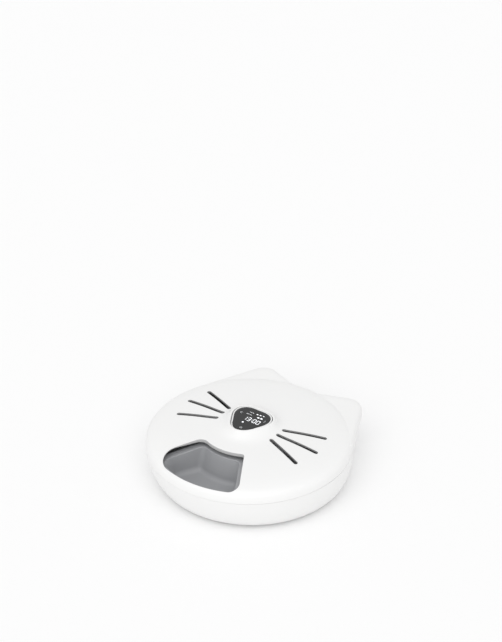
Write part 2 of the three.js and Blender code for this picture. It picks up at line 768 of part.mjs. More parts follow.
function ringGear() {
  const rootRadius = pitchRadius(ringTeeth) + gear.dedendum * gear.module;
  const outer = rootRadius + gear.rim;
  const phase = idlerAzimuth + halfTurn / ringTeeth;
  const teeth = extruded(gearOutline(ringTeeth, phase, true), gear.bottom - overrun,
    gearTop + overrun);
  const top = turntable.rimTop - turntable.wall - seat;
  return joined(
    cut(cylinder(outer, gear.bottom - seat, gearTop, hubSteps), teeth),
    tube(outer - gear.rim / 2, outer, gearTop - gear.rim, top, hubSteps),
  );
}

function spurGear(teeth, phase, bore) {
  const body = extruded(gearOutline(teeth, phase, false), gear.bottom, gearTop);
  return cut(body, cylinder(bore, gear.bottom - overrun, gearTop + overrun, smallSteps));
}

// Gearbox plate with the idler's boss and the posts of the control board
const plateBottom = drum.ledgeTop + seat;
const plateTop = plateBottom + plate.thickness;
const boardTop = plateBottom - board.postLength - seat;
const boardPosts = [
  new THREE.Vector2(controlBoard.left + controlBoard.holeInset, controlBoard.front
    + controlBoard.holeInset),
  new THREE.Vector2(controlBoard.right - controlBoard.holeInset, controlBoard.front
    + controlBoard.holeInset),
  new THREE.Vector2(controlBoard.right - controlBoard.holeInset - controlBoard.column,
    controlBoard.back - controlBoard.holeInset),
];
const podScrewPlaces = () => Array.from({ length: podScrewCount }, (_, i) =>
  polar(pod.screwCircle, -quarterTurn + fullTurn * i / podScrewCount));
const motorScrewPlaces = () => [-1, 1].map((side) =>
  new THREE.Vector2(pinionPlace.x + side * motor.screwSpacing / 2, pinionPlace.y));

function gearboxPlate() {
  const edge = drum.radius - drum.wall - plate.fit;
  const posts = boardPosts.map((place) => cylinder(board.postRadius, plateBottom - board.postLength,
    plateBottom + seat, smallSteps, place.x, place.y));
  const body = joined(
    cylinder(edge, plateBottom, plateTop, hubSteps),
    cylinder(axle.bossRadius, plateTop - seat, gear.bottom - seat, smallSteps, idlerPlace.x,
      idlerPlace.y),
    ...posts,
  );
  const low = plateBottom - overrun;
  const high = gear.bottom + overrun;
  return cut(body,
    cylinder(axle.radius + seat, low, high, smallSteps, idlerPlace.x, idlerPlace.y),
    cylinder(motor.noseRadius + seat, low, high, smallSteps, pinionPlace.x, pinionPlace.y),
    cylinder(pod.postBore, low, high, smallSteps),
    ...[...podScrewPlaces(), ...plateScrewPlaces(), ...motorScrewPlaces()].map((place) =>
      cylinder(screw.holeRadius, low, high, tinySteps, place.x, place.y)));
}

// A screw with its head at the bottom, or hanging head up when length is negative
function screwAt(place, headFace, length) {
  const sign = Math.sign(length);
  const profile = [[0, headFace], [screw.headRadius, headFace],
    [screw.headRadius, headFace + sign * screw.headHeight],
    [screw.shankRadius, headFace + sign * screw.headHeight],
    [screw.shankRadius, headFace + length], [0, headFace + length]];
  return turned(profile, tinySteps, place.x, place.y);
}

// Display pod: centre post, the disc that fills the turntable's bore, and the tilted head
function tiltedHead(outline, height) {
  const slope = Math.tan(radians(pod.tilt));
  return outline.map((point) => new THREE.Vector3(point.x, point.y, height + slope * point.y));
}

function podNeck(inset, low) {
  const rings = podNeckShares.map(([radius, rise]) => {
    const height = pod.neckHeight + rise * (pod.top - pod.neckHeight);
    const ring = noseOutline(pod.outlineRadius * radius - inset, rise, neckSteps);
    return ring.map((point) => new THREE.Vector3(point.x, point.y,
      height + rise * Math.tan(radians(pod.tilt)) * point.y));
  });
  return [atHeight(circle(pod.outlineRadius * podNeckShares[0][0] - inset, neckSteps), low),
    ...rings];
}

function displayPod() {
  const discEdge = pod.wall / 2;
  const outer = turned([[0, plateTop + seat], [pod.footRadius, plateTop + seat],
    [pod.footRadius, plateTop + seat + pod.footThickness],
    [pod.postRadius, plateTop + seat + pod.footThickness], [pod.postRadius, pod.discBottom - pod.wall],
    [pod.discRadius - discEdge, pod.discBottom], [pod.discRadius, pod.discBottom + discEdge],
    [pod.discRadius, pod.discTop - discEdge], [pod.discRadius - discEdge, pod.discTop],
    [pod.neckRadius, pod.neckHeight], [0, pod.neckHeight]], hubSteps);
  const neck = skinned(podNeck(0, pod.discTop - pod.wall));
  const hollow = turned([[0, plateTop], [pod.postBore, plateTop],
    [pod.postBore, pod.discBottom + pod.wall / 2],
    [pod.discRadius - pod.wall, pod.discBottom + pod.wall],
    [pod.discRadius - pod.wall, pod.discTop - pod.wall],
    [pod.neckRadius - pod.wall, pod.neckHeight - pod.wall], [0, pod.neckHeight - pod.wall]],
  hollowSteps);
  const neckHollow = skinned(podNeck(pod.wall + glass.ledge, pod.discTop - 2 * pod.wall));
  const recess = skinned([
    tiltedHead(noseOutline(pod.outlineRadius - pod.wall + seat, 1, neckSteps),
      pod.top - glass.thickness - glass.inset - seat),
    tiltedHead(noseOutline(pod.outlineRadius - pod.wall + seat, 1, neckSteps), pod.top + overrun),
  ]);
  const slots = podScrewPlaces().map((place) => cylinder(screw.holeRadius, plateTop,
    plateTop + seat + pod.footThickness + seat, tinySteps, place.x, place.y));
  return cut(joined(outer, neck), hollow, neckHollow, recess, ...slots);
}

function displayWindow() {
  const outline = noseOutline(pod.outlineRadius - pod.wall, 1, neckSteps);
  const low = pod.top - glass.thickness - glass.inset;
  return skinned([tiltedHead(outline, low), tiltedHead(outline, pod.top - glass.inset)]);
}

function displayBoard() {
  const outline = noseOutline(pod.outlineRadius - 2 * pod.wall - glass.ledge, 1, neckSteps / 2);
  const top = pod.top - glass.thickness - glass.inset - seat;
  return skinned([tiltedHead(outline, top - glass.boardThickness), tiltedHead(outline, top)]);
}

// Ice packs: two half rings on the base floor
const iceBottom = base.floorTop + seat;
const iceTop = iceBottom + ice.height;
const iceSector = (inset) => sector({
  inner: ice.inner + inset, outer: ice.outer - inset, sideGap: ice.halfSplit + inset,
  innerCorner: ice.corner, outerCorner: ice.corner,
}, quarterTurn);
const iceMiddle = (ice.inner + ice.outer) / 2;

function dimpleCut(azimuth, side) {
  const place = polar(iceMiddle, azimuth);
  const along = azimuth + quarterTurn;
  const oval = circle(dimple.radius, tinySteps).map((point) =>
    new THREE.Vector2(point.x * dimple.stretch, point.y));
  const bar = [
    new THREE.Vector2(-dimple.arm, -dimple.armWidth / 2),
    new THREE.Vector2(dimple.arm, -dimple.armWidth / 2),
    new THREE.Vector2(dimple.arm, dimple.armWidth / 2),
    new THREE.Vector2(-dimple.arm, dimple.armWidth / 2),
  ];
  return [oval, bar].map((outline) => {
    const placed = turnedOutline(outline, along).map((point) => point.add(place));
    return extruded(side(placed), iceTop - dimple.depth, iceTop + overrun);
  });
}

const rightSide = (outline) => outline;
const notchOutline = (radius) => circle(radius, tinySteps)
  .map((point) => point.add(polar(ice.outer, ice.notchAzimuth)));
const plugOutline = (radius) => circle(radius, smallSteps)
  .map((point) => point.add(polar(ice.inner + ice.wall + ice.plugRadius + ice.corner, 0)));

function icePack(side) {
  const top = iceTop + overrun;
  const low = iceBottom - overrun;
  const body = extruded(side(iceSector(0)), iceBottom, iceTop);
  const groove = cut(
    extruded(side(iceSector(ice.grooveInset)), iceTop - ice.grooveDepth, top),
    extruded(side(iceSector(ice.grooveInset + ice.grooveWidth)), iceBottom, top),
  );
  const cavity = cut(
    extruded(side(iceSector(ice.wall)), iceBottom + ice.wall, iceTop - ice.wall),
    extruded(side(notchOutline(ice.notchRadius + ice.wall)), low, top),
  );
  return cut(body, cavity, groove,
    extruded(side(notchOutline(ice.notchRadius)), low, top),
    extruded(side(plugOutline(ice.plugRadius)), low, iceBottom + ice.wall + seat),
    ...dimpleAzimuths.flatMap((azimuth) => dimpleCut(azimuth, side)));
}

function gelCore(side) {
  return cut(
    extruded(side(iceSector(ice.wall + seat)), iceBottom + ice.wall + seat,
      iceTop - ice.wall - seat),
    extruded(side(notchOutline(ice.notchRadius + ice.wall + seat)), iceBottom, iceTop),
  );
}

const fillPlug = (side) => extruded(side(plugOutline(ice.plugRadius - seat)), iceBottom,
  iceBottom + ice.wall);

// Underside
const coverBottom = base.underside + seat;
const coverTop = coverBottom + cover.thickness;
const doorHalf = door.halfWidth + seat;
const footPlaces = Array.from({ length: footCount }, (_, i) => polar(foot.circle, i * quarterTurn));
const coverScrewPlaces = Array.from({ length: footCount }, (_, i) =>
  polar(coverBoss.circle, coverBoss.azimuth + i * quarterTurn));

function alongX(radius, from, to, y, z, steps) {
  return tiltedCylinder(radius, [from, y, z], [to, y, z], steps);
}

function bottomCover() {
  const pads = [-1, 1].map((side) => {
    const inner = side * doorHalf;
    const outer = side * (doorHalf + doorPad.length);
    return block(Math.min(inner, outer), Math.max(inner, outer), door.axisY - doorPad.length / 2,
      door.axisY + doorPad.length / 2, coverBottom, coverBottom + doorPad.height);
  });
  const edge = base.coverOpening - cover.fit;
  const body = joined(cylinder(edge, coverBottom, coverTop, discSteps), ...pads);
  const opening = block(-doorHalf, doorHalf, door.axisY - door.knuckleRadius - seat,
    door.back + seat, coverBottom - overrun, coverTop + overrun);
  const pinHoles = [-1, 1].map((side) => alongX(door.pinRadius + seat, side * (doorHalf - seat),
    side * (doorHalf + door.pinLength + seat), door.axisY, door.axisZ, smallSteps));
  const recesses = footPlaces.map((place) => cylinder(foot.radius + foot.fit,
    coverBottom - overrun, foot.height + seat, smallSteps, place.x, place.y));
  const screwCuts = coverScrewPlaces.flatMap((place) => [
    cylinder(screw.holeRadius, coverBottom - overrun, coverTop + overrun, tinySteps, place.x,
      place.y),
    cylinder(screw.headRadius + headFit, coverBottom - overrun,
      coverBottom + screw.headHeight + seat, smallSteps, place.x, place.y),
  ]);
  return cut(body, opening, ...pinHoles, ...recesses, ...screwCuts);
}

const footPad = (place) => cylinder(foot.radius, 0, foot.height, smallSteps, place.x, place.y);

function batteryDoor() {
  const half = door.halfWidth;
  const edge = door.back - door.tongueThickness;
  return joined(
    block(-half, half, door.axisY, door.back, coverBottom, coverBottom + door.thickness),
    alongX(door.knuckleRadius, -half, half, door.axisY, door.axisZ, smallSteps),
    alongX(door.pinRadius, -half - door.pinLength, half + door.pinLength, door.axisY,
      door.axisZ, smallSteps),
    block(-door.tongueWidth / 2, door.tongueWidth / 2, edge, door.back,
      coverBottom + door.thickness / 2, coverBottom + door.tongueHeight),
  );
}

const boxHalf = cell.pitch * cellCount / 2 + box.wall;

function batteryBox() {
  const body = block(-boxHalf, boxHalf, box.front, box.back, coverTop + seat, box.roof);
  const inside = block(-boxHalf + box.wall, boxHalf - box.wall, box.front + box.wall,
    box.back - box.wall, coverTop - overrun, box.roof - box.wall);
  return cut(body, inside);
}

const cellX = (i) => (i - (cellCount - 1) / 2) * cell.pitch;
const cellMiddle = (box.front + box.back) / 2;
const cellHeight = box.roof - box.wall - seat - cell.radius;

function batteryCell(i) {
  const half = cell.length / 2;
  const turn = i % 2 === 0 ? -1 : 1;
  const geometry = new THREE.LatheGeometry([[0, -half], [cell.radius, -half], [cell.radius, half],
    [cell.nubRadius, half], [cell.nubRadius, half + cell.nubLength], [0, half + cell.nubLength]]
    .map(([radius, height]) => new THREE.Vector2(radius, height)), smallSteps);
  geometry.translate(0, -cell.nubLength / 2, 0).rotateX(turn < 0 ? Math.PI : 0);
  return solid(geometry.translate(cellX(i), cellMiddle, cellHeight));
}

function contactPlate(back) {
  const face = back ? box.back - box.wall - seat - contact.thickness : box.front + box.wall + seat;
  return block(-contact.width / 2, contact.width / 2, face, face + contact.thickness,
    cellHeight - contact.height / 2, cellHeight + contact.height / 2);
}

// Motor below the plate, its shaft up to the pinion
const motorTop = plateBottom - seat;

function motorSolid() {
  const body = joined(
    cylinder(motor.radius, motorTop - motor.height, motorTop, smallSteps * 2, pinionPlace.x,
      pinionPlace.y),
    cylinder(motor.noseRadius, motorTop - seat, motorTop + motor.noseHeight, smallSteps,
      pinionPlace.x, pinionPlace.y),
  );
  const depth = screw.length;
  return cut(body,
    cylinder(shaft.radius + seat, motorTop - shaft.length / 2, plateTop + overrun, smallSteps,
      pinionPlace.x, pinionPlace.y),
    ...motorScrewPlaces().map((place) =>
      cylinder(screw.holeRadius, motorTop - depth, motorTop + overrun, tinySteps, place.x,
        place.y)));
}

const motorShaft = () => cylinder(shaft.radius, motorTop - shaft.length / 2 + seat,
  gearTop, smallSteps, pinionPlace.x, pinionPlace.y);

// Boards and small electrical pieces
function controlBoardSolid() {
  return block(controlBoard.left, controlBoard.right, controlBoard.front, controlBoard.back,
    boardTop - board.thickness, boardTop);
}

const sensorSolid = () => block(sensor.x - sensor.width / 2, sensor.x + sensor.width / 2,
  sensor.y - sensor.depth / 2, sensor.y + sensor.depth / 2, plateTop + seat,
  plateTop + seat + sensor.height);

const buzzerSolid = () => cylinder(buzzer.radius, boardTop - board.thickness - seat
  - buzzer.height, boardTop - board.thickness - seat, smallSteps, buzzer.x, buzzer.y);

const inletFace = bowlRadiusAt(inlet.centreHeight) + shiftAt(inlet.centreHeight) - inlet.recess;

function roundedBar(width, height, corner, front, back) {
  const shape = new THREE.Shape();
  const [halfWidth, halfHeight] = [width / 2 - corner, height / 2 - corner];
  shape.absarc(halfWidth, halfHeight, corner, 0, Math.PI / 2);
  shape.absarc(-halfWidth, halfHeight, corner, Math.PI / 2, Math.PI);
  shape.absarc(-halfWidth, -halfHeight, corner, Math.PI, Math.PI * 3 / 2);
  shape.absarc(halfWidth, -halfHeight, corner, Math.PI * 3 / 2, Math.PI * 2);
  const options = { depth: back - front, bevelEnabled: false, curveSegments: cornerSteps };
  const geometry = new THREE.ExtrudeGeometry(shape, options).rotateX(Math.PI / 2);
  return solid(geometry.translate(0, back, inlet.centreHeight));
}

const inletHole = () => roundedBar(inlet.width + 2 * inlet.fit, inlet.height + 2 * inlet.fit,
  inlet.corner + inlet.fit, inletFace - inlet.depth - overrun, inletFace + 2 * overrun);

function inletSocket() {
  const outer = roundedBar(inlet.width, inlet.height, inlet.corner, inletFace - inlet.depth,
    inletFace);
  return cut(outer, roundedBar(inlet.width - 2 * inlet.wall, inlet.height - 2 * inlet.wall,
    inlet.corner - inlet.wall, inletFace - inlet.depth + inlet.wall, inletFace + overrun));
}

const inletBoard = () => block(-inlet.boardWidth / 2, inlet.boardWidth / 2,
  inletFace - inlet.boardDepth, inletFace - 2 * base.wall,
  inlet.centreHeight + inlet.height / 2 + seat, floorUnder - seat);

// Cables along smooth routes inside the housing
function cableAlong(points) {
  const path = new THREE.CatmullRomCurve3(points.map((point) => new THREE.Vector3(...point)));
  const section = new THREE.Shape(circle(cable.radius, cableSides));
  const steps = 2 * points.length;
  return solid(new THREE.ExtrudeGeometry(section, { steps, extrudePath: path, bevelEnabled: false }));
}

function displayCable() {
  const top = pod.top - glass.thickness - glass.inset - 2 * seat - glass.boardThickness
    - cable.radius;
  const start = pod.postBore / 2;
  return cableAlong([
    [start, start, boardTop + seat],
    [start, start, boardTop + board.postLength / 3],
    [start / 2, start / 2, plateBottom],
    [0, 0, gear.bottom],
    [0, 0, pod.discBottom],
    [0, 0, top],
  ]);
}

// Materials, coloured as in the photograph
const finish = (color, roughness, metalness = 0) =>
  new THREE.MeshStandardMaterial({ color, roughness, metalness });
const materials = {
  white: finish(0xf2f2f2, 0.4),
  grey: finish(0xa2a4a6, 0.45),
  blue: finish(0x1a6fb8, 0.35),
  gel: finish(0x9fd0ee, 0.3),
  black: finish(0x121214, 0.1),
  acetal: finish(0xe8e6df, 0.5),
  steel: finish(0xb8bcc0, 0.3, 1),
  rubber: finish(0x8d8f92, 0.8),
  board: finish(0x1f6b3c, 0.6),
  cell: finish(0x3a3d42, 0.35),
  cable: finish(0x2b2b2d, 0.6),
};

function mesh(name, shape, material, place = new THREE.Vector2(0, 0)) {
  const { vertProperties, triVerts, numProp } = shape.getMesh();
  const geometry = new THREE.BufferGeometry();
  geometry.setAttribute("position", new THREE.BufferAttribute(new Float32Array(vertProperties),
    numProp));
  geometry.setIndex(Array.from(triVerts));
  geometry.computeVertexNormals();
  const piece = new THREE.Mesh(geometry, material);
  piece.name = name;
  piece.position.set(place.x, place.y, 0);
  return piece;
}

const feeder = new THREE.Group();

feeder.add(
  mesh("base_shell", baseShell(), materials.white),
  mesh("lid_shell", lidShell(), materials.white),
  mesh("food_tray", foodTray(), materials.grey),
  mesh("ice_pack_right", icePack(rightSide), materials.blue),
  mesh("ice_pack_left", icePack(mirroredOutline), materials.blue),
  mesh("ice_gel_right", gelCore(rightSide), materials.gel),
  mesh("ice_gel_left", gelCore(mirroredOutline), materials.gel),
  mesh("fill_plug_right", fillPlug(rightSide), materials.blue),
  mesh("fill_plug_left", fillPlug(mirroredOutline), materials.blue),
  mesh("turntable", turntableSolid(), materials.white),
  mesh("ring_gear", ringGear(), materials.acetal),
  mesh("bearing_ring", tube(bearing.inner, bearing.outer, plateTop + seat,
    gear.bottom - 2 * seat, hubSteps), materials.acetal),
  mesh("idler_gear", spurGear(idlerTeeth, idlerAzimuth, axle.radius + seat), materials.acetal,
    idlerPlace),
  mesh("idler_axle", cylinder(axle.radius, plateBottom, axle.top, smallSteps, idlerPlace.x,
    idlerPlace.y), materials.steel),
  mesh("motor_pinion", spurGear(pinionTeeth, pinionBearing + halfTurn + halfTurn / pinionTeeth,
    shaft.radius + seat), materials.acetal, pinionPlace),
  mesh("motor_shaft", motorShaft(), materials.steel),
  mesh("motor", motorSolid(), materials.steel),
  mesh("gearbox_plate", gearboxPlate(), materials.white),
  mesh("display_pod", displayPod(), materials.white),
  mesh("display_window", displayWindow(), materials.black),
  mesh("display_board", displayBoard(), materials.board),
  mesh("display_cable", displayCable(), materials.cable),
  mesh("control_board", controlBoardSolid(), materials.board),
  mesh("buzzer", buzzerSolid(), materials.black),
  mesh("position_sensor", sensorSolid(), materials.black),
  mesh("bottom_cover", bottomCover(), materials.white),
  mesh("battery_door", batteryDoor(), materials.white),
  mesh("battery_box", batteryBox(), materials.white),
  mesh("contact_plate_front", contactPlate(false), materials.steel),
  mesh("contact_plate_back", contactPlate(true), materials.steel),
  mesh("power_inlet", inletSocket(), materials.steel),
  mesh("inlet_board", inletBoard(), materials.board),
);

for (let i = 0; i < cellCount; i += 1) {
  feeder.add(mesh(`battery_${i + 1}`, batteryCell(i), materials.cell));
}
footPlaces.forEach((place, i) => {
  feeder.add(mesh(`foot_${i + 1}`, footPad(place), materials.rubber));
});
coverScrewPlaces.forEach((place, i) => {
  feeder.add(mesh(`cover_screw_${i + 1}`, screwAt(place, coverBottom, screw.length),
    materials.steel));
});
plateScrewPlaces().forEach((place, i) => {
  const shape = screwAt(place, plateTop + seat + screw.headHeight, -screw.length);
  feeder.add(mesh(`plate_screw_${i + 1}`, shape, materials.steel));
});
motorScrewPlaces().forEach((place, i) => {
  const shape = screwAt(place, plateTop + seat + screw.headHeight, -screw.length);
  feeder.add(mesh(`motor_screw_${i + 1}`, shape, materials.steel));
});

// The ears reach back further than the disc, so the whole moves forward to stand centred
feeder.position.y = -new THREE.Box3().setFromObject(feeder).getCenter(new THREE.Vector3()).y;

export default feeder;
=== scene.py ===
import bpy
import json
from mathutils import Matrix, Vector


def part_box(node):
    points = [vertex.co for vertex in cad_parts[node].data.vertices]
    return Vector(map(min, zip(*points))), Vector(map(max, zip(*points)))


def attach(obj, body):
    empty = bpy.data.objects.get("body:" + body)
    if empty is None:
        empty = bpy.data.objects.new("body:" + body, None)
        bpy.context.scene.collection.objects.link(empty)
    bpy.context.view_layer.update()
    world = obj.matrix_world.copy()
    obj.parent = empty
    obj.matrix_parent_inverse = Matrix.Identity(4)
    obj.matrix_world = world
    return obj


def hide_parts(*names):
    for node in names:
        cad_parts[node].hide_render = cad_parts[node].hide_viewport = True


bl_info = {
    "name": "Pet feeder pieces",
    "version": (1, 0, 0),
    "blender": (4, 5, 0),
    "location": "3D View > Sidebar > Feeder",
    "description": "Builds the detailed pieces of a smart pet feeder round its CAD frame",
    "category": "Add Mesh",
}

import json
import math

import bmesh
import bpy
import numpy as np
from mathutils import Vector
from mathutils.geometry import delaunay_2d_cdt

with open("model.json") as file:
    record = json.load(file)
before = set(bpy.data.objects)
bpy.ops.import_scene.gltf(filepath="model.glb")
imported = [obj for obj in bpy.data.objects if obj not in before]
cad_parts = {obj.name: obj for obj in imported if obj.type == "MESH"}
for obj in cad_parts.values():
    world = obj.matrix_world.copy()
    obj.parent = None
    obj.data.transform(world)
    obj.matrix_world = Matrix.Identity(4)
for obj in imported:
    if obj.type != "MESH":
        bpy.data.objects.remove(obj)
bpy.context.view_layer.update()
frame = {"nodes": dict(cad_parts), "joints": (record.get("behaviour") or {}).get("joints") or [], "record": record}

# The mesh code works in millimetres from the hub, and pieces are placed in metres
MM = 0.001
# Points this near, in metres, are joined; triangles below this area, in square millimetres, are dropped
WELD = 2e-7
SLIVER = 2e-4
spin = next(joint for joint in frame["joints"] if joint["name"] == "turntable_spin")
HUB = np.array([spin["pos_m"][0], spin["pos_m"][1], 0.0])
RIGHT_ANGLE = 90.0
HALF_TURN = 180.0
FULL_TURN = 360.0
QUARTER = math.pi / 2
ROUND = 360
WELLS = 6
HALF_SLICE = FULL_TURN / WELLS / 2
FRONT = -90.0

# Steps along half a slice: outer arc, outer corner, side, inner corner, inner arc
SLICE_STEPS = (16, 8, 10, 8, 8)
SLOT_END_STEPS = 8
SLOT_SIDE_POINTS = 26

# Sheets: how near its edge a point may lie, in spacings, plain and with rings; points compared at once
SHEET_MARGIN = 0.55
RINGED_MARGIN = 0.3
CHUNK = 200
TRIANGLE_TOLERANCE = 1e-5
# Share of a line's stretches that rounding cuts from each end
CORNER_CUT = 0.25
FILLET_STEPS = 5
# Edges sharper than these angles aren't smoothed: on most pieces, on the lid's ears, on small pieces
SHARP, EAR_SHARP, SMALL_SHARP = 38.0, 50.0, 30.0

# Disc that the lid and the base share, and their two ears
DISC = 160.0
EAR_AZIMUTH = 62.0
EAR_CENTRE = 174.0
EAR_TIP = 23.9
EAR_ROOT = 81.0
EAR_ANCHOR = 112.0
EAR_SPAN = EAR_CENTRE + EAR_TIP - EAR_ANCHOR
EAR_INSIDE = EAR_ANCHOR * 0.9
EAR_SIDE_POINTS, EAR_BEND_STEPS, EAR_INNER_POINTS = 60, 40, 12
EAR_EDGE_POINTS, EAR_BACK_STEPS = 96, 36

# Lid: radius and height above its rim, from the rim up to the nose
LID_RIM = 59.0
LID_WALL = 2.2
LID_PROFILE = [(160, 0), (159.7, 5.2), (158.6, 10.6), (155, 15.8), (147.5, 19.6), (131, 23.6),
               (93, 27.6), (62, 28.9), (52, 29.6), (45.2, 31.9), (39.2, 36.4), (36, 39.6)]
LID_SHOULDER = 140.0
LID_SHEET_OUTER = 158.0
LID_SHEET_RINGS = (146, 148.5, 151, 153, 154.6, 156, 157.1)
LID_SHEET_INNER = 47.0
RIM_GAP, NOSE_GAP, UNDER_GAP = 0.1, 0.3, 1
LID_TOP_SPACING, LID_UNDER_SPACING = 3.2, 4.5
# Rounding of the rim: how far in and how high; then the inner wall's levels
LID_RIM_EDGE = ((0, 0.5), (0.15, 0.15), (0.5, 0), (LID_WALL, 0))
LID_EDGE_TOP = 0.6
LID_INNER_LOW, LID_INNER_GAP, LID_INNER_LEVELS = 1, 0.8, 5
# The nose and its ripple, which grows up the flare; its crown and the collar inside it
NOSE_RADIUS = 32.1
NOSE_OUTER = 35.0
NOSE_TOP = 41.0
NOSE_COLLAR = 31.6
FLARE = 52.0
RIPPLE = 3.5
NOSE_SHIFT = 1.0
NOSE_CROWN = [(NOSE_OUTER + 0.35, NOSE_TOP - 0.5), (NOSE_OUTER - 0.3, NOSE_TOP - 0.1),
              ((NOSE_RADIUS + NOSE_OUTER) / 2, NOSE_TOP), (NOSE_RADIUS + 0.5, NOSE_TOP - 0.15),
              (NOSE_RADIUS + 0.12, NOSE_TOP - 0.5), (NOSE_RADIUS, NOSE_TOP - 1.1)]
NOSE_COLLAR_EDGE = [(NOSE_RADIUS, NOSE_COLLAR + 0.4), (NOSE_RADIUS + 0.4, NOSE_COLLAR),
                    (NOSE_OUTER - 0.6, NOSE_COLLAR), (NOSE_OUTER - 0.4, NOSE_COLLAR + 0.3)]
# The mouth's right side, and how its left side differs: its outer corner is much rounder
MOUTH = {"inner": 75.8, "outer": 154.4, "gap": -0.9, "inner_corner": 5.5, "outer_corner": 15.0}
MOUTH_LEFT = {"gap": 2.4, "inner_corner": 13.0, "outer_corner": 28.0}
MOUTH_DETAIL = 2
# An opening's wall: least depth past the lid's wall, rounding of its foot, flange round it
WALL_EXCESS = 0.2
WALL_FOOT, WALL_FOOT_BEND = 0.6, 0.3
FLANGE_WIDTH = 1.2
# Material indices of the lid: 0 is plain white, 1 paints shade on the whisker slots' walls, 2 paints shade on the
# walls of the mouth and the nose opening; the mouth's rounded edge stays plain for its first rows
SLOT_SHADE_TONE, CUT_WALL_SHADE_TONE = 1, 2
PLAIN_EDGE_ROWS = 5
WHISKERS = [((110.7, 42.2), (52.4, 18.1)), ((119.6, 3.9), (52.5, 2.1)), ((110.0, -35.8), (52.1, -14.8))]
WHISKER_DEPTH = 3.2
# Ears of the lid: share drawn in and share of the height; how far they sink into the disc
LID_EAR_ROWS = [(0, 0), (0.003, 0.34), (0.015, 0.62), (0.042, 0.81), (0.09, 0.925), (0.16, 0.98), (0.24, 1)]
LID_EAR_HEIGHT = 17.4
LID_EAR_SINK, LID_EAR_INNER_SINK = 1.2, 0.9
LID_EAR_SPACING = 3.0
# Tabs that drop into the lip's notches: share of the outline and height above the rim
NOTCH_WIDTH = 11.0
TAB_SLIP, TAB_DEPTH = 0.3, 1.6
TAB_LEVELS = ((0.82, 0.0), (0.97, 0.15), (1.0, 0.5), (1.0, 2.0), (0.94, 2.3), (0.8, 2.4))

# Tray
TRAY_TOP = 74.0
TRAY_FLAT = 76.5
TRAY_EASE = 6.0
TRAY_DROP = 8.0
TRAY_RIM = 149.0
TRAY_UNDER_RIM = 147.2
TRAY_PLATE = 2.2
TRAY_HOLE = 46.0
TRAY_BOTTOM = 33.0
TRAY_LEVEL_DEPTH = 14.0
TRAY_SKIRT = [(149, 66.33), (150.6, 65.6), (151.7, 64.2), (152, 62.4), (151.8, 59), (151, 54),
              (149.3, 49), (146.4, 44.6), (143.6, 42)]
# The skirt's lower edge rises between the wells, below this height and fully over this depth
SKIRT_LIFT, SKIRT_LIFT_TOP, SKIRT_LIFT_DEPTH = 1.4, 50, 12
SKIRT_INNER_GAP, SKIRT_INNER_TOP = 1, 61
TRAY_SPACING, UNDER_SPACING, WELL_SPACING, CUP_SPACING = 3.6, 5.0, 4.0, 6.0
WELL = {"inner": 76.5, "outer": 146.5, "gap": 6.2, "inner_corner": 9.0, "outer_corner": 12.0}
WELL_FLOOR = 39.0
WELL_WALL = 1.8
WELL_LEVELS, WELL_BEND_STEPS, WELL_EDGE = 7, 7, 2
WELL_BEND_SHARE = 0.9
# How far inner radius, outer radius and gap draw in, and the share of it by depth
WELL_DRAFTS = (9.5, 11.5, 2.5)
DRAFT_DEPTHS = (0, 0.88 * WELL_FLOOR, WELL_FLOOR)
DRAFT_SHARES = (0, 0.9, 1.25)
# Outside of the wells: height and outer radius, and the rounded foot
CUPS = [(33, 136.2), (36, 138.6), (43, 141), (50, 142.8), (60, 145), (74, 144)]
CUP_TOP_RADIUS = 144.0
CUP_FOOT = 3.0
CUP_START, CUP_LEVELS = 12, 7

# Ice packs
ICE_TOP = 28.3
ICE_LOW = 14.3
ICE_INNER = 81.7
ICE_OUTER = 142.3
ICE_GAP = 0.95
ICE_CORNER = 4.0
PACK_WALL = 2.4
GROOVE_INSETS = {"inner": 11.6, "outer": 9.6, "end": 8.4}
GROOVE_CORNER = 3.5
GROOVE_SHARPNESS, SCOOP_SHARPNESS, DIMPLE_SHARPNESS = 1.35, 1.25, 0.8
PINCH_WIDTH = 0.75
# Faces pressed in past this share take the darker blue, a painted shade
GROOVE_SHADE_FROM = 0.45
# Dimples: degrees round from the front
DIMPLES = (21.7, 74.0, 129.6)
DIMPLE_RADIUS = 111.2
# Two scoops near the ear and the groove's bend round them: azimuth, half width in degrees, depth
SCOOPS = ((58.6, 2.7, 4.6), (50.6, 2.4, 3.9))
BEND_AZIMUTHS = (45.5, 50.5, 60.5, 67.5)
BEND = 8.6
PACK_COLUMNS, PACK_LINES, PACK_EDGE_LINES = 740, 96, 6
PACK_SHOULDER = 1
PACK_FOOT_STEPS, PACK_FOOT_SHARE = 4, 0.5
PACK_SPACING = 9.0
GEL_COLUMNS, GEL_EDGE = 241, 0.6
# Which way is inwards is tried with a short step from every so many points
PROBE_EVERY, PROBE_STEP = 25, 0.4
TINY = 1e-9

# Base
LIP_TOP = 61.0
LIP_STEP = 58.7
LIP_OUTER = 157.2
LIP_INNER = 155.2
LIP_POINTS = 9
FLOOR = 14.0
FLOOR_UNDER = 11.5
BACK_SHIFT = 7.0
FULL_SHIFT = 11.0
# The foot's level part ends at this radius, and from there the backward shift eases in
FOOT_RADIUS, FOOT_EASE = 126, 6
BOWL = [(126, 2), (134.5, 2), (140.5, 2.9), (146.2, 5.8), (150.4, 10.2), (153.3, 16.4), (156, 25),
        (158.1, 34.3), (159.4, 46), (160, 58.7)]
BOWL_LEVEL = 2.01
BOWL_WALL = 2.4
BOWL_POINTS = 300
SHELF = [(DISC - 0.4, LIP_STEP + 0.02), (LIP_OUTER + 0.3, LIP_STEP + 0.02)]
LIP_FOOT, LIP_INNER_FOOT = (LIP_OUTER, LIP_STEP + 0.3), (LIP_INNER, LIP_STEP - 1)
INNER_WALL_TOP, INNER_WALL_LEVELS, FLOOR_BEND_STEPS = 52, 8, 6
FLOOR_RING, FLOOR_RING_SHIFT = 110, 3.5
DRUM = 72.0
DRUM_TOP = 56.5
DRUM_INNER, DRUM_LEDGE = 69.4, 76.4
DRUM_CEILING = 23.8
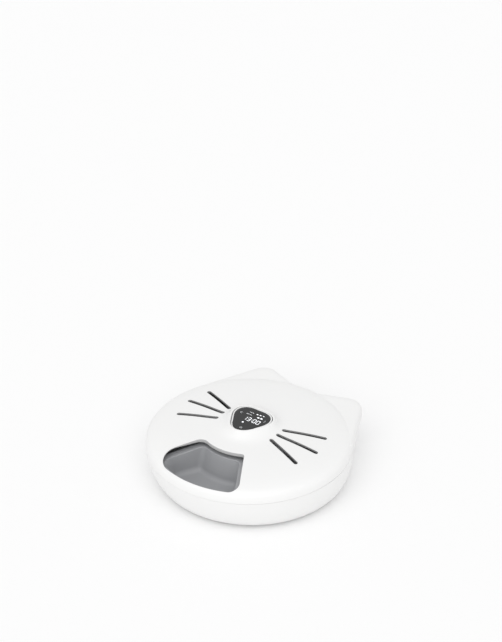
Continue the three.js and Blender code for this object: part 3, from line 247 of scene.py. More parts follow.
FLANGE = 79.0
FLANGE_TOP = 26.4
FLOOR_TO_DRUM = [
    (FLANGE + 1.2, FLOOR), (FLANGE + 0.3, FLOOR + 0.3), (FLANGE, FLOOR + 1.2), (FLANGE, FLANGE_TOP - 1.6),
    (FLANGE - 0.4, FLANGE_TOP - 0.6), (FLANGE - 1.2, FLANGE_TOP - 0.1), (FLANGE - 2.4, FLANGE_TOP),
    (DRUM + 1.5, FLANGE_TOP), (DRUM + 0.5, FLANGE_TOP + 0.4), (DRUM, FLANGE_TOP + 1.5),
    (DRUM, DRUM_TOP - 0.5), (DRUM - 0.15, DRUM_TOP - 0.12), (DRUM - 0.5, DRUM_TOP),
    (DRUM_INNER, DRUM_TOP), (DRUM_INNER, DRUM_CEILING), (DRUM_LEDGE, DRUM_CEILING),
    (DRUM_LEDGE, FLOOR_UNDER), (FOOT_RADIUS, FLOOR_UNDER), (FOOT_RADIUS, 2)]
NOTCHES = 4
NOTCH_SLIP = 0.02
# Rib that locates the packs: its corners in plan, and its sunk foot and bevelled top
RIB_CORNERS = ((-0.6, -101), (0.6, -101), (0.6, -78), (-0.6, -78))
RIB_SINK, RIB_BEVEL, RIB_TOP_SHARES = 1, 0.4, (0.8, 0.99)
# Ears of the base: height and reach as a share of the whole ear
EAR_SHELF = 53.0
EAR_REACHES = [(4.3, 0.8), (8, 0.855), (14.6, 0.9), (26, 0.95), (40.3, 0.985), (50, 0.995), (LIP_STEP, 1)]
EAR_SINK, EAR_SPACING = 1.2, 4.0
EAR_TOP_GAP = 0.7
# From an ear's top edge down to its shelf: height, how far drawn in, how far inside the bowl it ends
EAR_TOP_ROWS = ((LIP_STEP - 0.5, 0, EAR_SINK), (LIP_STEP - 0.12, 0.15, EAR_SINK), (LIP_STEP, 0.5, EAR_SINK),
                (LIP_STEP, BOWL_WALL * 0.8, -0.05), (LIP_STEP - 0.15, BOWL_WALL * 0.95, -0.1),
                (LIP_STEP - 0.5, BOWL_WALL, -0.1), (56, BOWL_WALL, -0.1), (EAR_SHELF + 2, BOWL_WALL, -0.1),
                (EAR_SHELF + 0.6, BOWL_WALL * 1.25, -0.4), (EAR_SHELF, BOWL_WALL * 1.9, -1.2))

# Turntable, its boss and its key
COLLAR_LOW = 57.3
COLLAR_TOP = 66.0
COLLAR_EDGE = ((3, 0), (0.6, 0), (0.15, 0.15), (0, 0.6))
COLLAR_CEILING = COLLAR_LOW + 5
COLLAR_CLEARANCE = 0.65
BOSS_TOP = 71.5
BOSS_FOOT = 70.2
BOSS_CROWN = 68.4
# Radius, sharpness of the corners and height, from the boss's foot to its top
BOSS_ROWS = ((BOSS_FOOT, 60, COLLAR_TOP), (BOSS_FOOT - 0.5, 60, COLLAR_TOP + 0.5),
             (BOSS_CROWN + 0.6, 45, BOSS_TOP - 1.3), (BOSS_CROWN + 0.3, 42, BOSS_TOP - 0.5),
             (BOSS_CROWN - 0.1, 40, BOSS_TOP - 0.15), (BOSS_CROWN - 0.8, 38, BOSS_TOP))
BOSS_CORNER_REACH = 0.985
# Half a side of the boss, in degrees
HALF_SIDE = 30.0
BORE = 50.0
BORE_EDGE, BORE_WALL = 0.8, 2
TOP_SPACING = 3.0
KEY_AZIMUTH = 60.0
KEY_CENTRE = 60.1
KEY_RADIUS = 21.0
KEY_SHARPNESS = 22.0

# Display pod: its profile from the post's foot to the disc, then the neck as shares of the head
POD_DISC = 44.6
POD_STEP = 49.2
POD_STEP_TOP = 70.9
POD_LOW = 59.0
POD_DISC_TOP = 75.0
POD_TOP = 98.4
POD_OUTLINE = 31.0
POD_TILT = math.tan(math.radians(4))
POD_POINTS, WINDOW_POINTS = 300, 200
POD_PROFILE = [
    (10.5, 40), (15, 40), (15, POD_LOW - 2), (POD_DISC - 1.2, POD_LOW), (POD_DISC, POD_LOW + 1.2),
    (POD_DISC, POD_STEP_TOP - 1.6), (POD_STEP, POD_STEP_TOP - 1.5), (POD_STEP, POD_STEP_TOP - 0.3),
    (POD_STEP - 0.3, POD_STEP_TOP), (POD_DISC + 0.3, POD_STEP_TOP), (POD_DISC, POD_STEP_TOP + 0.3),
    (POD_DISC, POD_DISC_TOP - 1.3), (POD_DISC - 0.35, POD_DISC_TOP - 0.4),
    (POD_DISC - 1.2, POD_DISC_TOP - 0.05), (POD_DISC - 2.2, POD_DISC_TOP), (41.6, POD_DISC_TOP),
    (41.3, POD_DISC_TOP - 0.45), (40.9, POD_DISC_TOP - 0.45), (40.6, POD_DISC_TOP + 0.05),
    (38.6, POD_DISC_TOP + 0.4), (37.4, POD_DISC_TOP + 0.9)]
NECK_LOW = 78.0
NECK = [(1.17, -0.11), (1.105, 0.0), (1.045, 0.1), (1.0, 0.25), (0.985, 0.42), (0.975, 0.6), (0.99, 0.82),
        (1.0, 0.95)]
# The head's rim and the seat of the window: how far in and how far down; then the inside
HEAD_EDGE = ((0.15, 0.35), (0.6, 0.05), (2.0, 0), (2.15, 0.3), (2.2, 1.6), (4, 1.6))
POD_INSIDE = ((26, 90), (26, 78), (40, 71), (40, 62), (10.5, 58), (10.5, 40))
WINDOW_ROWS = ((27.6, 96.4), (28.5, 96.4), (28.6, 97.4), (28.5, 97.8), (28.1, 98.0))
WINDOW_SPACING = 3.0

# Display marks, read from the mouth's side
SEGMENTS = {"a": ((0, 2), (1, 2)), "b": ((1, 2), (1, 1)), "c": ((1, 1), (1, 0)), "d": ((0, 0), (1, 0)),
            "e": ((0, 1), (0, 0)), "f": ((0, 2), (0, 1)), "g": ((0, 1), (1, 1))}
DIGITS = {"0": "abcdef", "1": "bc", "3": "abcdg"}
READING = "1300"
COLON_BEFORE, COLON_PLACES, COLON_POINTS = 2, (0.3, 0.7), 12
COLON_RADIUS, COLON_STEP = 0.6, 2.6
DIGIT_WIDTH, DIGIT_STEP = 0.56, 0.86
DIGITS_LEFT = -9.6
DIGITS_LOW = -4.2
GLASS_TOP = 98.0
MARK_LIFTS = (-0.15, 0.06)
TICK_ROWS = ((9.6, (-12.2, -10.6, -9.0, -6.6, -5.0, -3.4)), (15.2, (-9.6, -8.2, -6.8, -4.6, -3.2)))
TICK_LEAN, TICK_HEIGHT, TICK_STROKE = 0.5, 1.5, 0.7
BLOBS = ((4.0, 16.2, 3.6, 1.9), (9.4, 16.7, 3.6, 1.9), (14.8, 17.4, 3.0, 1.5),
         (9.8, 10.2, 4.2, 2.7), (15.2, 10.6, 4.2, 2.7), (-4.4, -10.8, 3.1, 3.0))
BLOB_POINTS = 16
ICONS = ((-20.6, 8.2, 30, 300), (1.2, -23.4, -60, 250), (22.6, 7.4, -110, 100))
ICON_RADIUS = 1.7
ICON_TURN, ICON_STROKE = 30.0, 0.45
BAR_GAP, BAR_TRIM = 0.05, 0.3

# Stage: floor and its paper, the tone behind, the lamp's place, and the camera in metres and degrees
FLOOR_HALF = 6.0
PAPER_ROUGHNESS, PAPER_GLOSS = 0.9, 0.1
BACKDROP = 0.955
LAMP_PLACE = (0.8, -1.55, 1.95)
CAMERA_AZIMUTH, CAMERA_PITCH = 36.0, 29.205
CAMERA_DISTANCE, CAMERA_SIDE, CAMERA_HEIGHT = 1.52835, 0.00264, 1.1244
LENS, SENSOR = 67.29, 36.0
CLIPS = (0.05, 30.0)


# Plane outlines
def polar(radius, azimuth):
    angle = np.radians(azimuth)
    return np.stack([radius * np.cos(angle), radius * np.sin(angle)], axis=-1)


def around(count):
    return np.arange(count) * FULL_TURN / count


def circle(radius, count=ROUND):
    return polar(np.full(count, float(radius)), around(count))


def arc(centre, radius, start, end, steps):
    return np.asarray(centre) + polar(np.full(steps + 1, float(radius)), np.linspace(start, end, steps + 1))


def azimuth_of(point):
    return math.degrees(math.atan2(point[1], point[0]))


def at_height(outline, height):
    return np.column_stack([outline, np.broadcast_to(height, len(outline))])


def level(height):
    """Puts plane points at one height."""
    return lambda points: at_height(points, height)


def rounded_line(points, rounds=3):
    """A line through soft corners, with its ends kept."""
    line = np.asarray(points, float)
    for _ in range(rounds):
        cut = np.empty((2 * len(line) - 2, 2))
        cut[0::2] = (1 - CORNER_CUT) * line[:-1] + CORNER_CUT * line[1:]
        cut[1::2] = CORNER_CUT * line[:-1] + (1 - CORNER_CUT) * line[1:]
        line = np.vstack([line[:1], cut, line[-1:]])
    return line


def half_slice(shape, grow, detail):
    """One half of a slice, from the middle of its outer arc to the middle of its inner arc."""
    inner, outer = shape["inner"] - grow, shape["outer"] + grow
    gap = shape["gap"] - grow
    inner_corner, outer_corner = shape["inner_corner"] + grow, shape["outer_corner"] + grow
    square = HALF_SLICE + RIGHT_ANGLE
    along, across = polar(1, HALF_SLICE), polar(1, square)

    def corner_centre(radius, corner):
        offset = gap + corner
        return along * math.sqrt(radius ** 2 - offset ** 2) - across * offset

    far = corner_centre(outer - outer_corner, outer_corner)
    near = corner_centre(inner + inner_corner, inner_corner)
    steps = [count * detail for count in SLICE_STEPS]
    side_start = arc(far, outer_corner, 0, square, 1)[-1]
    side_end = arc(near, inner_corner, square, 0, 1)[0]
    return np.vstack([
        arc((0, 0), outer, 0, azimuth_of(far), steps[0]),
        arc(far, outer_corner, azimuth_of(far), square, steps[1])[1:],
        np.linspace(side_start, side_end, steps[2] + 1)[1:],
        arc(near, inner_corner, square, azimuth_of(near) + HALF_TURN, steps[3])[1:],
        arc((0, 0), inner, azimuth_of(near), 0, steps[4])[1:],
    ])


def slice_outline(shape, azimuth, grow=0.0, detail=1, other_shape=None):
    """A sixth of a ring with straight sides and four round corners, grown outwards by grow."""
    half = half_slice(shape, grow, detail)
    mirrored = half_slice(other_shape or shape, grow, detail)
    other = (mirrored[1:-1] * (1, -1))[::-1]
    return turned(np.vstack([half, other]), azimuth)


def turned(outline, azimuth):
    x_axis, y_axis = polar(1, azimuth), polar(1, azimuth + RIGHT_ANGLE)
    return outline[:, :1] * x_axis + outline[:, 1:] * y_axis


def slot_outline(start, end, radius, mirror):
    """A straight slot with round ends."""
    heading = azimuth_of(np.subtract(end, start))
    ends = [arc(end, radius, heading - RIGHT_ANGLE, heading + RIGHT_ANGLE, SLOT_END_STEPS),
            arc(start, radius, heading + RIGHT_ANGLE, heading + 3 * RIGHT_ANGLE, SLOT_END_STEPS)]
    sides = [np.linspace(ends[i][-1], ends[1 - i][0], SLOT_SIDE_POINTS)[1:-1] for i in (0, 1)]
    return np.vstack([ends[0], sides[0], ends[1], sides[1]]) * (mirror, 1)


def nose_outline(radius, share, azimuths):
    """The nose's rounded triangle, from round at share 0 to full at share 1."""
    swell = RIPPLE * share * np.cos(3 * np.radians(azimuths + RIGHT_ANGLE))
    outline = polar(radius + swell, azimuths)
    outline[:, 1] += NOSE_SHIFT * share
    return outline


def inside(points, loop):
    """Which points lie inside a closed loop."""
    x, y = points[:, 0, None], points[:, 1, None]
    ax, ay = loop[None, :, 0], loop[None, :, 1]
    bx, by = np.roll(ax, -1, 1), np.roll(ay, -1, 1)
    crosses = (ay > y) != (by > y)
    with np.errstate(divide="ignore", invalid="ignore"):
        reach = (bx - ax) * (y - ay) / (by - ay) + ax
    return (crosses & (x < reach)).sum(axis=1) % 2 == 1


def within(points, outer, holes):
    """Which points lie inside the outer loop and outside every hole."""
    keep = inside(points, outer)
    for hole in holes:
        keep &= ~inside(points, hole)
    return keep


# Meshes
class Skin:
    """The rings, bands and sheets that make up one piece."""

    def __init__(self):
        self.points = []
        self.faces = []
        # Faces that get a darker material as painted shade, with its index
        self.shaded_faces = []
        self.count = 0

    def add(self, points):
        start = self.count
        self.points.append(np.asarray(points, float))
        self.count += len(points)
        return list(range(start, self.count))

    def rows(self, rows, closed=True):
        """Bands between rings of points, or between open lines of points."""
        rings = [self.add(row) for row in rows]
        for low, high in zip(rings, rings[1:]):
            for i in range(len(low) if closed else len(low) - 1):
                j = (i + 1) % len(low)
                self.faces.append((low[i], low[j], high[j], high[i]))

    def lathe(self, profile):
        """Bands round the hub through points of radius and height."""
        self.rows([at_height(circle(radius), height) for radius, height in profile])

    def sheet(self, outer, holes, spacing, place, rings=()):
        """A flat region with holes, meshed evenly, finer on rings near its edge, and then placed."""
        outer, holes = np.asarray(outer), [np.asarray(hole) for hole in holes]
        loops = [outer] + holes
        low, high = outer.min(0), outer.max(0)
        step = np.array([spacing, spacing * math.sqrt(3) / 2])
        columns, lines = np.ceil((high - low) / step).astype(int) + 1
        grid = np.stack(np.meshgrid(np.arange(columns), np.arange(lines)), -1).reshape(-1, 2).astype(float)
        grid[:, 0] += 0.5 * (grid[:, 1] % 2)
        points = low + grid * step
        margin = SHEET_MARGIN
        if len(rings):
            margin = RINGED_MARGIN
            points = points[np.linalg.norm(points, axis=1) < rings[0] - spacing / 2]
            ringed = [circle(radius, int(radius * 2 * math.pi / spacing)) for radius in rings]
            points = np.vstack([points] + ringed)
        points = points[within(points, outer, holes)]
        rim = np.vstack(loops)
        for start in range(0, len(rim), CHUNK):
            gaps = np.linalg.norm(points[:, None] - rim[None, start:start + CHUNK], axis=2).min(axis=1)
            points = points[gaps > margin * spacing]
        edges = []
        start = 0
        for loop in loops:
            edges += [(start + i, start + (i + 1) % len(loop)) for i in range(len(loop))]
            start += len(loop)
        flat = [Vector(p) for p in np.vstack([rim, points]).tolist()]
        verts, _, triangles, *_ = delaunay_2d_cdt(flat, edges, [], 0, TRIANGLE_TOLERANCE)
        verts = np.array([v[:] for v in verts])
        triangles = np.array([t[:] for t in triangles])
        sides = verts[triangles[:, 1:]] - verts[triangles[:, :1]]
        areas = np.abs(sides[:, 0, 0] * sides[:, 1, 1] - sides[:, 0, 1] * sides[:, 1, 0]) / 2
        keep = within(verts[triangles].mean(axis=1), outer, holes) & (areas > SLIVER)
        placed = self.add(place(verts))
        self.faces += [tuple(placed[i] for i in t) for t in triangles[keep].tolist()]

    def flats(self, spacing, *rings):
        """Level sheets that close level rings."""
        for ring in rings:
            self.sheet(ring[:, :2], [], spacing, level(ring[0, 2]))

    def cap(self, ring):
        """A fan over a ring of points."""
        ring = np.asarray(ring)
        rim = self.add(ring)
        hub = self.add([ring.mean(axis=0)])[0]
        self.faces += [(rim[i], rim[(i + 1) % len(rim)], hub) for i in range(len(rim))]

    def closed(self, rows):
        """A solid through rings, closed by a fan at both ends."""
        self.rows(rows)
        self.cap(rows[0])
        self.cap(rows[-1])


def piece(skin, name, slot, body, stands_for=(), sharp=SHARP, others=(), finish=None):
    """Makes a skin into an object of one slot that rides on a body and may replace CAD nodes."""
    mesh = bpy.data.meshes.new(name)
    points = np.concatenate(skin.points) * MM + HUB
    mesh.from_pydata(points.tolist(), [], skin.faces)
    # Faces listed for painted shade get their darker material slot
    shade_indices = np.zeros(len(skin.faces), dtype=np.int32)
    for faces, tone in skin.shaded_faces:
        shade_indices[faces] = tone
    mesh.polygons.foreach_set("material_index", shade_indices)
    build = bmesh.new()
    build.from_mesh(mesh)
    bmesh.ops.remove_doubles(build, verts=build.verts, dist=WELD)
    bmesh.ops.recalc_face_normals(build, faces=build.faces)
    build.to_mesh(mesh)
    build.free()
    mesh.shade_smooth()
    mesh.set_sharp_from_angle(angle=math.radians(sharp))
    for material in (finish or material_for(slot), *[material_for(other) for other in others]):
        mesh.materials.append(material)
    made = bpy.data.objects.new(name, mesh)
    bpy.context.scene.collection.objects.link(made)
    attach(made, body)
    if stands_for:
        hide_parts(*stands_for)


def fillet(size, steps=FILLET_STEPS):
    """Steps round a quarter circle: how far out, and how far down."""
    angles = np.linspace(0, QUARTER, steps + 1)
    return [(size * (1 - math.sin(a)), size * (1 - math.cos(a))) for a in angles]


# Materials: roughness, grain, bump and change of tone by slot, with the colour's setting first
RECIPES = {
    "white": ("white", 0.4, 1100.0, 0.035, 0.012),
    "tray_grey": ("tray_grey", 0.47, 1500.0, 0.09, 0.03),
    "pack_blue": ("pack_blue", 0.42, 1300.0, 0.05, 0.06),
    # Painted shade: a darker blue in the packs' grooves and dimples
    "pack_groove": ("groove", 0.5, 1300.0, 0.05, 0.06),
    # Painted shade: a darker grey on the whisker slots' walls, standing in for the shade inside the slots
    "slot_lining": ("lining", 0.5, 1300.0, 0.05, 0.03),
    # Painted shade: a darker white on the walls of the mouth and of the nose opening
    "cut_edge": ("edge", 0.5, 1100.0, 0.05, 0.02),
    "gel": ("gel", 0.2, 200.0, 0.05, 0.1),
    "acetal": ("acetal", 0.32, 900.0, 0.03, 0.03),
    "steel": ("steel", 0.3, 700.0, 0.06, 0.08),
    "window_black": ("glass", 0.24, 300.0, 0.01, 0.1),
    "board_green": ("board", 0.42, 900.0, 0.12, 0.2),
    "cable_black": ("dark", 0.5, 1200.0, 0.08, 0.1),
    "cell_jacket": ("cell", 0.3, 500.0, 0.04, 0.08),
    "foot_rubber": ("rubber", 0.75, 1800.0, 0.2, 0.1),
}
# What some finishes have besides: the steel's grain is drawn out upwards
EXTRAS = {
    "pack_blue": {"gloss": 0.25},
    "pack_groove": {"gloss": 0.15},
    "steel": {"metal": 1.0, "stretch": (1, 1, 0.1)},
    "window_black": {"coat": 0.15, "gloss": 0.35},
    "cell_jacket": {"coat": 0.3},
}
ROUGHNESS_SPREAD = 0.07
RELIEF_DEPTH = 0.0004
COAT_ROUGHNESS = 0.12
GRAIN_DETAIL, TONE_SCALE, TONE_DETAIL = 3, 14.0, 2
LIT_SCALE, LIT_DETAIL, LIT_SPREAD, LIT_ROUGHNESS = 600.0, 2, 0.15, 0.3
EVEN = (1, 1, 1)


def linear(colour):
    """Linear values of a colour written as it looks on a screen."""
    return tuple(c / 12.92 if c <= 0.04045 else ((c + 0.055) / 1.055) ** 2.4 for c in colour[:3]) + (1.0,)


def new_material(name):
    material = bpy.data.materials.new(name)
    material.use_nodes = True
    nodes = material.node_tree.nodes
    shader = next(node for node in nodes if node.type == "BSDF_PRINCIPLED")
    return material, nodes, material.node_tree.links, shader


def position(nodes, links, scale):
    """Object coordinates, which keep still when a piece moves."""
    place = nodes.new("ShaderNodeTexCoord")
    mapping = nodes.new("ShaderNodeMapping")
    mapping.inputs["Scale"].default_value = scale
    links.new(place.outputs["Object"], mapping.inputs["Vector"])
    return mapping.outputs["Vector"]


def noise(nodes, links, vector, scale, detail):
    node = nodes.new("ShaderNodeTexNoise")
    node.inputs["Scale"].default_value = scale
    node.inputs["Detail"].default_value = detail
    links.new(vector, node.inputs["Vector"])
    return node.outputs["Fac"]


def ranged(nodes, links, value, low, high):
    node = nodes.new("ShaderNodeMapRange")
    node.inputs["To Min"].default_value = low
    node.inputs["To Max"].default_value = high
    links.new(value, node.inputs["Value"])
    return node.outputs["Result"]


def moulded(name, colour, roughness, grain, bump, tone, coat=0.0, gloss=0.5, metal=0.0, stretch=EVEN):
    """Moulded plastic or drawn metal: a fine grain in the bump and roughness, a slow change of tone."""
    material, nodes, links, shader = new_material(name)
    vector = position(nodes, links, stretch)
    fine = noise(nodes, links, vector, grain, GRAIN_DETAIL)
    slow = noise(nodes, links, vector, TONE_SCALE, TONE_DETAIL)
    mix = nodes.new("ShaderNodeMix")
    mix.data_type = "RGBA"
    base = linear(colour)
    mix.inputs["A"].default_value = tuple(c * (1 - tone) for c in base[:3]) + (1,)
    mix.inputs["B"].default_value = tuple(min(1, c * (1 + tone)) for c in base[:3]) + (1,)
    links.new(slow, mix.inputs["Factor"])
    links.new(mix.outputs["Result"], shader.inputs["Base Color"])
    spread = ranged(nodes, links, fine, roughness - ROUGHNESS_SPREAD, roughness + ROUGHNESS_SPREAD)
    links.new(spread, shader.inputs["Roughness"])
    relief = nodes.new("ShaderNodeBump")
    relief.inputs["Strength"].default_value = bump
    relief.inputs["Distance"].default_value = RELIEF_DEPTH
    links.new(fine, relief.inputs["Height"])
    links.new(relief.outputs["Normal"], shader.inputs["Normal"])
    for socket, value in (("Metallic", metal), ("Specular IOR Level", gloss), ("Coat Weight", coat),
                          ("Coat Roughness", COAT_ROUGHNESS)):
        shader.inputs[socket].default_value = value
    return material


def glowing(name, colour, strength):
    """Lit marks behind the display's glass, a little uneven."""
    material, nodes, links, shader = new_material(name)
    uneven = noise(nodes, links, position(nodes, links, EVEN), LIT_SCALE, LIT_DETAIL)
    glow = ranged(nodes, links, uneven, strength * (1 - LIT_SPREAD), strength * (1 + LIT_SPREAD))
    links.new(glow, shader.inputs["Emission Strength"])
    shader.inputs["Base Color"].default_value = linear(colour)
    shader.inputs["Emission Color"].default_value = linear(colour)
    shader.inputs["Roughness"].default_value = LIT_ROUGHNESS
    return material


def material_for(slot):
    """The finish of a material slot, made once."""
    name = "finish_" + slot
    found = bpy.data.materials.get(name)
    if found:
        return found
    colour_setting, *grain = RECIPES[slot]
    chosen = getattr(bpy.context.scene.pet_feeder.finishes, colour_setting)
    return moulded(name, chosen, *grain, **EXTRAS.get(slot, {}))


# Settings
def size(name, description, default, smallest=0.0, largest=1.0):
    return bpy.props.FloatProperty(name=name, description=description, default=default, min=smallest,
                                   max=largest, unit="LENGTH", subtype="DISTANCE", precision=4)


def amount(name, description, default, largest, **kind):
    return bpy.props.FloatProperty(name=name, description=description, default=default, min=0.0,
                                   max=largest, **kind)


def colour(name, description, default):
    return bpy.props.FloatVectorProperty(name=name, description=description, default=default, size=3,
                                         min=0.0, max=1.0, subtype="COLOR_GAMMA")


def group(name, description, kind):
    return bpy.props.PointerProperty(name=name, description=description, type=kind)


class FinishSettings(bpy.types.PropertyGroup):
    """Colours of the feeder's materials"""
    white: colour("White plastic", "Lid, base and hub", (0.93, 0.93, 0.928))
    tray_grey: colour("Tray grey", "Food tray", (0.634, 0.638, 0.648))
    pack_blue: colour("Pack blue", "Shells of the ice packs", (0.03, 0.46, 0.755))
    # Painted shade in the packs' grooves and dimples
    groove: colour("Groove blue", "Grooves and dimples of the packs", (0.01, 0.31, 0.58))
    # Painted shade on the whisker slots' walls
    lining: colour("Slot lining", "Walls of the whisker slots", (0.64, 0.64, 0.64))
    # Painted shade on the walls of the mouth and of the nose opening
    edge: colour("Cut edge", "Walls of the mouth and of the nose opening", (0.81, 0.81, 0.81))
    gel: colour("Gel", "Cooling gel inside the packs", (0.62, 0.78, 0.9))
    acetal: colour("Acetal", "Gears and slide ring", (0.86, 0.85, 0.8))
    steel: colour("Steel", "Screws, shafts and motor", (0.68, 0.68, 0.69))
    glass: colour("Display glass", "Window of the display", (0.125, 0.127, 0.13))
    lit: colour("Lit marks", "Digits and signs of the display", (0.95, 0.96, 0.97))
    board: colour("Board green", "Circuit boards", (0.1, 0.32, 0.2))
    dark: colour("Cable black", "Cable jacket and buzzer", (0.08, 0.08, 0.085))
    cell: colour("Cell jacket", "Sleeves of the battery cells", (0.25, 0.27, 0.3))
    rubber: colour("Foot rubber", "Rubber feet", (0.3, 0.3, 0.31))


class LidSettings(bpy.types.PropertyGroup):
    """Sizes of the lid's edges and slots"""
    mouth_edge: size("Mouth edge", "Depth of the mouth's wall at its inner side", 0.0064, 0.0026, 0.01)
    mouth_fillet: size("Mouth fillet", "Rounding of the mouth's edge", 0.0008, 0.0002, 0.004)
    whisker_width: size("Whisker width", "Width of the whisker slots", 0.0062, 0.001, 0.008)
    whisker_fillet: size("Whisker fillet", "Rounding of the slots' edges", 0.0003, 0.0001, 0.001)


class TraySettings(bpy.types.PropertyGroup):
    """Sizes of the tray's roundings"""
    rim_fillet: size("Well edge", "Rounding of the top edges of the wells", 0.0014, 0.0005, 0.005)
    floor_fillet: size("Floor rounding", "Rounding between a well's walls and floor", 0.009, 0.002, 0.015)
    hole_fillet: size("Hole edge", "Rounding of the hub hole", 0.0014, 0.0003, 0.002)


class PackSettings(bpy.types.PropertyGroup):
    """Sizes of the marks on the ice packs"""
    groove_width: size("Groove width", "Half width of the groove that runs round", 0.002, 0.001, 0.004)
    groove_depth: size("Groove depth", "Depth of that groove", 0.0009, 0.0003, 0.002)
    edge: size("Edge rounding", "Rounding of the packs' edges", 0.0022, 0.0005, 0.004)
    dimple: size("Dimple", "Radius of the pressed dimples", 0.0073, 0.002, 0.009)


class BaseSettings(bpy.types.PropertyGroup):
    """Sizes of the base's details"""
    floor_fillet: size("Floor rounding", "Rounding between the wall and the floor", 0.008, 0.001, 0.012)
    rib_height: size("Rib height", "Height of the rib that locates the packs", 0.003, 0.001, 0.004)
    collar_fillet: size("Collar rounding", "Rounding of the turntable's top edge", 0.0016, 0.0003, 0.003)


class DisplaySettings(bpy.types.PropertyGroup):
    """Marks of the display"""
    digit_height: size("Digit height", "Height of the digits", 0.0082, 0.004, 0.016)
    stroke: size("Stroke", "Width of the digits' strokes", 0.001, 0.0004, 0.002)
    glow: amount("Glow", "How brightly the marks shine", 0.55, 5.0)


class StageSettings(bpy.types.PropertyGroup):
    """Floor, light and camera"""
    floor: colour("Floor", "Pale floor under the feeder", (0.97, 0.97, 0.97))
    sky: amount("Sky light", "Strength of the even light", 0.79, 3.0)
    key: amount("Key light", "Strength of the wide soft light", 1.1, 10.0)
    softness: amount("Softness", "Width of the soft light", 1.3, 3.1, subtype="ANGLE", unit="ROTATION")


class FeederSettings(bpy.types.PropertyGroup):
    """All settings of the feeder"""
    finishes: group("Finishes", "Colours", FinishSettings)
    lid: group("Lid", "Lid sizes", LidSettings)
    tray: group("Tray", "Tray sizes", TraySettings)
    packs: group("Ice packs", "Pack sizes", PackSettings)
    base: group("Base", "Base sizes", BaseSettings)
    display: group("Display", "Display marks", DisplaySettings)
    stage: group("Stage", "Stage settings", StageSettings)


# Lid
LID_LINE = rounded_line(LID_PROFILE)


def lid_height(radius):
    return np.interp(radius, LID_LINE[::-1, 0], LID_LINE[::-1, 1])


def lid_radius(height):
    """Radius of the lid's outer wall at a height above its rim."""
    shoulder = LID_LINE[LID_LINE[:, 0] > LID_SHOULDER]
    return float(np.interp(height, shoulder[:, 1], shoulder[:, 0]))


def ripple_share(radius):
    """How much of the nose's ripple there is at a radius: it grows up the flare."""
    return np.clip((FLARE - radius) / (FLARE - NOSE_OUTER), 0, 1)


def lid_place(points, depth):
    """Puts plane points on the lid, or a depth below its top."""
    radius = np.linalg.norm(points, axis=1)
    azimuth = np.degrees(np.arctan2(points[:, 1], points[:, 0]))
    outline = nose_outline(radius, ripple_share(radius), azimuth)
    return at_height(outline, LID_RIM + lid_height(radius) - depth)


def lid_ring(radius, height):
    return at_height(nose_outline(radius, ripple_share(radius), around(ROUND)), LID_RIM + height)


def mouth_depth(points, edge):
    """The mouth's wall ends level with its inner side, so it is thin near the rim."""
    foot = lid_height(MOUTH["inner"]) - edge
    return np.maximum(lid_height(np.linalg.norm(points, axis=1)) - foot, LID_WALL + WALL_EXCESS)


def opening(skin, outline_at, rounding, depth_at, tone, plain_rows):
    """An opening's rounded edge, wall and flange; after its plain rows the faces take the given tone, a darker
    material that paints shade on the wall.
    """
    start = len(skin.faces)
    depth = depth_at(outline_at(0))
    foot = min(rounding, WALL_FOOT)
    bend = foot * WALL_FOOT_BEND
    rows = [lid_place(outline_at(out), down) for out, down in fillet(rounding)]
    rows += [lid_place(outline_at(out), depth - up) for out, up in ((0, foot), (bend, bend), (foot, 0))]
    rows += [lid_place(outline_at(FLANGE_WIDTH), end) for end in (depth, LID_WALL)]
    skin.rows(rows)
    skin.shaded_faces.append((range(start + plain_rows * len(rows[0]), len(skin.faces)), tone))


